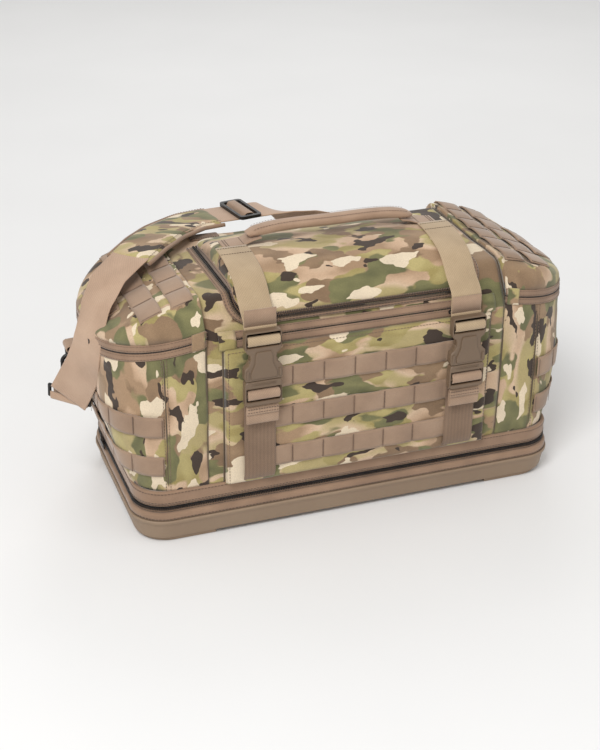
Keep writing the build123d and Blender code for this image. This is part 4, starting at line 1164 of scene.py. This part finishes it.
for side, name in SIDES:
    x0 = side * 126.0
    female_low, female_high = box_mm(f"{name}_female_buckle")
    top = female_high[2]
    male_top = female_low[2] - 0.4
    male_low = male_top - 31
    face_y = -138.5

    over = clamped_spline([(-32, 323), (-70, 318.6), (-101.5, 306), (-121, 286), (-135.5, 268)],
                          (-1, 0.03), (0, -1), 14)
    down = smooth_path([(-135.5, 268), (-135.6, top + 6), (-137.2, top - 8), (-138.6, top - 13.4),
                        (-143, top - 16.4), (-149, top - 16.2), (-151.7, top - 13.5), (-151.7, top - 8.5),
                        (-149, top - 6.0), (-143, top - 5.6), (-138.8, top - 4), (-137.6, top + 2)], 1.2)
    path = in_plane(x0, np.vstack([resample(over, 3)[:-1], down]))
    path[:, 2] += [wobble((x0, y, z), 45, 0.6) if y > -130 else 0 for _, y, z in path]
    # the strap over the lid uses the lighter webbing, painted light
    upper = strap(f"{name}_lid_strap", path, ALONG_X, STRAP_W, WEBBING_LIT, "lid")
    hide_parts(f"{name}_upper_strap")
    for k, rise in enumerate((9, 12.5, 16)):
        cross_stitches(f"{name}_lid_strap_seam_{k}", x0, -136.7, top + rise, FORWARD, "lid")
    fold = in_plane(x0, [(-136.9, top + 22), (-137.0, top + 14), (-137.0, top + 1)])
    strap(f"{name}_lid_strap_fold", fold, ALONG_X, 37.6, WEBBING, "lid", 1.2)
    for k, y in enumerate((-37, -52)):
        z = float(np.interp(-y, -over[:, 0], over[:, 1])) + 1.0
        cross_stitches(f"{name}_lid_strap_end_{k}", x0, y, z, UP, "lid")

    # female half: body with a waist, two slots for the strap, a raised middle and a rounded mouth
    outline = [(-20, 0), (-21.3, -3), (-21.5, -21), (-19.5, -25), (-16.2, -27.5), (-15.2, -31), (-15.6, -36.5),
               (-18.5, -41), (-22.0, -44.5), (-22.5, -49), (-22.3, -57), (-20.5, -60)]
    outline = outline + [(-x, y) for x, y in outline[::-1]]
    slots = [rounded_outline(38.9, 5.6, 1.4, 3, (0, y)) for y in (-5.8, -16)]
    female = plate(f"{name}_buckle_socket", outline, slots, 10.6, (x0, face_y - 5.6, top), BUCKLE, "lid", 1.5)
    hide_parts(f"{name}_female_buckle")
    raised = (x0, face_y - 11.4, top)
    ridge = [(-8, -24), (-10, -28), (-10.5, -38), (-13, -44), (-15.5, -50), (-15, -56.5), (15, -56.5), (15.5, -50),
             (13, -44), (10.5, -38), (10, -28), (8, -24)]
    plate(f"{name}_buckle_ridge", ridge, [], 2.2, raised, BUCKLE, "lid")
    for k, sx in enumerate((-1, 1)):
        rib = [(sx * x, y) for x, y in ((17.6, -46), (20.5, -47), (20.8, -56), (17.8, -56.5))]
        plate(f"{name}_buckle_rib_{k}", rib if sx > 0 else rib[::-1], [], 1.6, raised, BUCKLE, "lid", 0.6)

    # male half: ladder frame and latch arms
    carrier = f"{name}_male"
    slots = [rounded_outline(38.9, 5.5, 1.2, 3, (0, y)) for y in (-12, -23)]
    male = plate(f"{name}_buckle_ladder", rounded_outline(44, 31, 4, 5, (0, -15.5)), slots, 10.4,
                 (x0, face_y - 5.5, male_top), BUCKLE, carrier, 1.5)
    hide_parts(f"{name}_male_buckle")
    for k, sx in enumerate((-1, 0, 1)):
        if sx:
            arm = [(sx * x, y) for x, y in ((10.5, -2), (10.5, 16), (12, 22), (14.5, 26.5), (16.6, 26.5),
                                            (17.2, 22), (17.0, 12), (15.6, 4), (16.5, -2))]
            arm = arm if sx < 0 else arm[::-1]
        else:
            arm = rounded_outline(5, 27, 2, 4, (0, 11.5))
        plate(f"{name}_latch_{k}", arm, [], 5.6, (x0, face_y - 6, male_top), BUCKLE, carrier)
    grips = [np.array((x0, face_y - 10.7, male_top - z)) for z in (3.0, 5.0)]
    repeated(f"{name}_ladder_grips", grips, (ALONG_X, UP, FORWARD), bead(30, 1.0, 0.7), BUCKLE, carrier)

    # webbing through the ladder frame, its tail rolled up below, and the strap behind it
    loop = smooth_path([(-137.3, male_low + 1), (-137.2, male_top - 9.5), (-140, male_top - 12),
                        (-147.5, male_top - 12.2), (-150.9, male_top - 14), (-150.9, male_top - 21),
                        (-147.5, male_top - 23), (-142, male_top - 23.4), (-139.8, male_top - 26),
                        (-139.6, male_low - 3)], 1.2)
    strap(f"{name}_ladder_webbing", in_plane(x0, loop), ALONG_X, STRAP_W, WEBBING, carrier, 1.5)
    roll = []
    for q in np.linspace(0, 3.3 * math.pi, 60):
        r = 4.6 - 0.28 * q
        roll.append((face_y - 5.2 - r * 0.62 * math.cos(q + 0.2), male_low - 14.5 + r * 2.9 * math.sin(q + 0.2)))
    tail = strap(f"{name}_rolled_tail", in_plane(x0, roll), ALONG_X, STRAP_W, WEBBING, carrier, 1.5)
    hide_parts(f"{name}_strap_tail")
    for z in (-5, -9):
        cross_stitches(f"{name}_tail_seam_{-z}", x0, face_y - 8.4, male_low + z, FORWARD, carrier)
    low = smooth_path([(-134.9, male_low + 12), (-134.9, 100), (-134.9, 84), (-133, 75), (-127.5, 69.5),
                       (-125, 66.5)], 3)
    low_strap = strap(f"{name}_front_strap", in_plane(x0, low), ALONG_X, STRAP_W, WEBBING_RIBBED, BAG)
    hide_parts(f"{name}_lower_strap")

    back = np.array([over_bag(x0, s, 1.4 + wobble((x0, s, 0), 50, 0.5))
                     for s in np.linspace(s_at_y(72), s_at_z(70, True), 90)])
    rear = strap(f"{name}_rear_strap", back, ALONG_X, STRAP_W, WEBBING_RIBBED, BAG)
    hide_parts(f"{name}_back_strap")
    cross_stitches(f"{name}_rear_strap_seam", *over_bag(x0, s_at_y(75), 2.4), UP, BAG)

# ------------------------------------------------------------------ carry handle
HANDLE_Y, HANDLE_HALF_L = -18, 104
arch = clamped_spline([(-104, 330), (-82, 335), (0, 337), (82, 335), (104, 330)], (1, 0.35), (1, -0.35), 20)
arch = resample(arch, 3.2)
verts, ring = [], 20
tangent = tangents_of(arch)
for i, (x, z) in enumerate(arch):
    end = min(1.0, (HANDLE_HALF_L - abs(x)) / 14)
    for a, b in rounded_box(ring, 11.2 * (0.86 + 0.14 * end), 2.4 + 3.2 * math.sqrt(max(end, 0)), (0.75, 0.75)):
        verts.append((x - tangent[i, 1] * b, HANDLE_Y + a, z + tangent[i, 0] * b))
grip = make_object("handle_grip", verts, capped_faces(len(arch), ring, False), GRIP, "handle")
puff(grip, pressure=3.0, cap=1.6, voxel=4.0)
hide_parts("carry_handle")
for k, y in enumerate((-25.6, -10.4)):
    line = [(x, y, z + 5.3 * min(1.0, (HANDLE_HALF_L - abs(x)) / 14 + 0.25)) for x, z in arch if abs(x) < 96]
    stitches(f"handle_stitch_{k}", line, (0, 0.3 if k else -0.3, 1), THREAD, "handle", "grip_fabric", 3.6)
for side, name in SIDES:
    lid_z = lid_top(HANDLE_Y)
    path = smooth_path([(side * x, HANDLE_Y, z) for x, z in ((88, 328.5), (100, 326.4), (108, lid_z + 2.6),
                                                             (118, lid_z + 2.2), (134, lid_z + 0.4))], 2.0)
    strap(f"handle_end_{name}", path, (0, 1, 0), ROW_W, WEBBING, "lid")
    for k, x in enumerate((106, 110, 127, 130)):
        z = lid_z + (3.6 if x < 120 else 2.2)
        line = [(side * x, HANDLE_Y - 10, z), (side * x, HANDLE_Y + 10, z)]
        stitches(f"handle_end_stitch_{name}_{k}", line, UP, THREAD_DARK, "lid", pitch=2.6)

# ------------------------------------------------------------------ shoulder strap, pad and adjuster
CARRY_W = 50              # width of the shoulder strap
ROUTE = np.array([        # points along the strap, each with the direction of its width
    (-319.5, 4.5, 141, 0.7, -0.7, 0), (-313, -9, 163, 0.65, -0.76, 0), (-306, -26, 190, 0.55, -0.83, 0),
    (-303, -36, 212, 0.45, -0.89, 0), (-299, -40, 237, 0.4, -0.91, 0), (-287, -32, 271, 0.42, -0.9, 0.1),
    (-264, -4, 293, 0.5, -0.85, 0), (-236, 14, 306, 0.55, -0.83, 0), (-206, 46, 310, 0.6, -0.8, 0),
    (-175, 81, 308, 0.6, -0.8, 0), (-135, 114, 304, 0.5, -0.86, 0), (-100, 122.5, 303, 0.25, -0.97, 0),
    (-30, 127, 303, 0.17, -0.98, 0), (-4, 133, 291, 0.35, -0.9, 0.4), (24, 139, 274, 0.3, -0.5, 0.8),
    (70, 141, 252, 0.25, 0, 0.97), (130, 141, 232, 0.2, 0, 0.98), (190, 141, 216, 0.15, 0, 0.99),
    (240, 131, 205, 0.05, 0, 1), (284, 97, 190, 0, 0.2, 1), (304, 80, 178, 0.3, 0.35, 0.9),
    (313, 71, 172, 0.57, 0.49, 0.65)])
fine = []
for a, b in zip(ROUTE[:-1], ROUTE[1:]):
    steps = max(int(np.linalg.norm(b[:3] - a[:3]) / 3), 2)
    fine += [a + (b - a) * t for t in np.linspace(0, 1, steps, endpoint=False)]
fine = np.array(fine + [ROUTE[-1]])
kernel = np.hanning(9)
kernel /= kernel.sum()
padded_route = np.vstack([np.repeat(fine[:1], 4, 0), fine, np.repeat(fine[-1:], 4, 0)])
fine = np.stack([np.convolve(padded_route[:, k], kernel, "valid") for k in range(6)], 1)
carry = strap("shoulder_webbing", fine[:, :3], fine[:, 3:], CARRY_W, WEBBING_WIDE, BAG)
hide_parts("shoulder_strap")

on_pad = [i for i, p in enumerate(fine) if -237 < p[0] < -99 and p[2] > 300]
pad_line = fine[on_pad]
along = tangents_of(pad_line[:, :3])
side_way = square_to(normalised(pad_line[:, 3:]), along)
upward = np.cross(along, side_way)
upward *= np.sign(upward[:, 2])[:, None]
verts, ring = [], 24
for i, p in enumerate(pad_line[:, :3]):
    end = min(1.0, (min(i, len(pad_line) - 1 - i) + 0.4) / 4)
    for a, b in rounded_box(ring, 28.5, 2.2 + 2.6 * math.sqrt(end), (0.5, 0.6)):
        verts.append(p + side_way[i] * a + upward[i] * (b - 2.6))
pad = make_object("shoulder_cushion", verts, capped_faces(len(pad_line), ring, False), CAMO_LID, BAG, "pad_fabric")
puff(pad, pressure=2.0, cap=0.9, voxel=4.0)
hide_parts("shoulder_pad")
for k, sign in enumerate((-1, 1)):
    edge_line = pad_line[:, :3] + side_way * sign * 28.6 - upward * 2.6
    pts, fcs = tube(edge_line, 2.6, 8)
    make_object(f"cushion_edge_{k}", pts, fcs, BINDING, BAG, "pad_fabric")
    line = pad_line[2:-2, :3] + side_way[2:-2] * sign * 24.5 + upward[2:-2] * 2.2
    stitches(f"cushion_stitch_{k}", line, UP, THREAD, BAG, "pad_fabric")

glide_across = (0.17, -0.985, 0)
glide_along = normalised(np.cross(glide_across, (0, 0, -1)))
centre = np.array((-65, 124.75, 304.3))
loop = smooth_path([(-9, -0.2), (-6.6, 1), (-5.4, 4.6), (-2.6, 5.4), (2.6, 5.4), (5.4, 4.6), (6.6, 1), (9, -0.2)], 1.0)
path = [centre + glide_along * a + np.array((0, 0, b)) for a, b in loop]
strap("adjuster_webbing", path, glide_across, 49, WEBBING, "glide", 1.2)

# ------------------------------------------------------------------ rings, their tabs and the strap ends
for side, name, origin, hang, turn in (
        (-1, "left", (-313, 8, 208), (-0.049938, 0, -0.998752), 45),
        (1, "right", (313.055, 5.804, 206.906), (0.030053, 0.798636, -0.601064), -35)):
    hang = np.array(hang)
    z_dir = -hang
    x_dir = normalised(np.array((side, 0, 0)) - z_dir * z_dir[0] * side)
    y_dir = np.cross(z_dir, x_dir)
    bar = math.cos(math.radians(turn)) * y_dir - math.sin(math.radians(turn)) * x_dir
    face = np.cross(bar, hang)
    middle = origin + hang * 70.5
    path = [middle + face * 3.6 - hang * 7] + [
        middle + face * 3.6 * math.cos(q) + hang * 3.6 * math.sin(q) for q in np.linspace(0, math.pi, 14)] + [
        middle - face * 3.6 - hang * 7]
    strap(f"{name}_strap_fold", path, bar, CARRY_W, WEBBING_WIDE, BAG, 1.5)

    wall = plan_size(208)[0] + 0.6
    path = smooth_path([(wall - 0.5, 4.0), (wall + 8, 4.3), (314, 4.0), (317.6, 2.4), (317.6, -2.4), (314, -4.0),
                        (wall + 8, -4.3), (wall - 0.5, -4.0)], 1.4)
    tab = strap(f"{name}_ring_tab", [(side * x, 8, 208 + z) for x, z in path], (0, 1, 0), 22, WEBBING, BAG, 1.6)
    if side < 0:
        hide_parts("ring_tabs")
    line = [(side * (plan_size(z)[0] + 1.3), 8, z) for z in np.linspace(186, 224, 14)]
    strap(f"{name}_ring_patch", line, (0, 1, 0), 27, WEBBING, BAG, 1.5)
    for z in (188, 200, 216, 222):
        x = side * (plan_size(z)[0] + 2.2)
        stitches(f"{name}_patch_stitch_{z}", [(x, -3, z), (x, 19, z)], (side, 0, 0), THREAD_DARK, BAG, pitch=2.6)

# ------------------------------------------------------------------ inside
rows = [ring_points(260 * t, 115 * t, 34 * t, 12.0, 10, 20) for t in (0.001, 0.3, 0.6, 0.85)]
rows += [ring_points(260 + grow, 115 + grow, 34, z, 10, 20) for grow, z in
         ((-0.6, 12.0), (0, 11.2), (0, 8.9), (-0.6, 8.2))]
liner = cloth_grid("tray_foam", rows, FOAM, "base", 0.3, wrap=True)
liner.modifiers.clear()
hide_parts("tray_liner")
first = None
for sy, name in ((-1, "front"), (1, "back")):
    grid = [[(x, sy * 113.5 + wobble((x, 0, z), 50, 0.7), z) for x in np.linspace(-172, 172, 60)]
            for z in np.linspace(76, 228, 30)]
    piece = cloth_grid(f"{name}_wall_foam", grid, FOAM, BAG, 3.0)
    piece.modifiers["Thickness"].offset = 0
    first = first or piece
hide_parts("wall_foam")

kept = {"floor_board": BOARD, "handle_core": BUCKLE, "tri_glide": BLACK, "lid_slider": METAL,
        "front_pocket_slider": METAL}
for side, name in SIDES:
    for part in ("d_ring", "snap_hook", "hook_gate", "strap_ring"):
        kept[f"{name}_{part}"] = BLACK
    for part in ("base_slider", "end_slider"):
        kept[f"{name}_{part}"] = METAL
for node, material in kept.items():
    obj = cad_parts[node]
    obj.data.materials.clear()
    obj.data.materials.append(material)
    auto_smooth(obj)

# ------------------------------------------------------------------ floor, light and camera
ground = bpy.data.meshes.new("ground")
ground.from_pydata([(-9, -9, -0.0005), (9, -9, -0.0005), (9, 9, -0.0005), (-9, 9, -0.0005)], [], [(0, 1, 2, 3)])
floor = bpy.data.objects.new("ground", ground)
bpy.context.scene.collection.objects.link(floor)
paper = Shader("pale_floor", None, **{"Roughness": 0.9, "Specular IOR Level": 0.1})
paper.colour(paper.ramp(paper.noise(paper.mapped(), 3, 2), (0.3, 0.86), (0.7, 0.88)))
ground.materials.append(paper.material)
floor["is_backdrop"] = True

world = bpy.data.worlds.new("studio")
bpy.context.scene.world = world
world.use_nodes = True
sky = world.node_tree.nodes["Background"].inputs
sky["Color"].default_value = (1.0, 0.99, 0.97, 1)
sky["Strength"].default_value = 0.57


def soft_light(name, place, aim, size, power):
    light = bpy.data.lights.new(name, "AREA")
    light.shape = "SQUARE"
    light.size = size
    light.energy = power
    obj = bpy.data.objects.new(name, light)
    obj.location = place
    obj.rotation_euler = (Vector(aim) - Vector(place)).to_track_quat("-Z", "Y").to_euler()
    bpy.context.scene.collection.objects.link(obj)


soft_light("key_light", (-1.4, -1.6, 2.5), (0, 0, 0.15), 1.2, 56)
soft_light("fill_light", (2.2, -1.8, 1.3), (0, 0, 0.15), 1.8, 5)
soft_light("rim_light", (0.8, 2.2, 2.2), (0, 0, 0.2), 1.4, 16)

azimuth, elevation, distance = math.radians(-20.12), math.radians(26.91), 1.8007
target = Vector((-0.0287, 0.0, 0.127))
toward = Vector((math.sin(azimuth) * math.cos(elevation), -math.cos(azimuth) * math.cos(elevation),
                 math.sin(elevation)))
camera_data = bpy.data.cameras.new("camera")
camera_data.lens = 69.35
camera = bpy.data.objects.new("camera", camera_data)
camera.location = target + toward * distance
camera.rotation_mode = "QUATERNION"
look = (-toward).to_track_quat("-Z", "Y")
camera.rotation_quaternion = look @ Quaternion((0, 0, 1), math.radians(0.56))
bpy.context.scene.collection.objects.link(camera)
bpy.context.scene.camera = camera

bpy.context.scene.view_settings.view_transform = "Standard"

low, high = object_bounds()
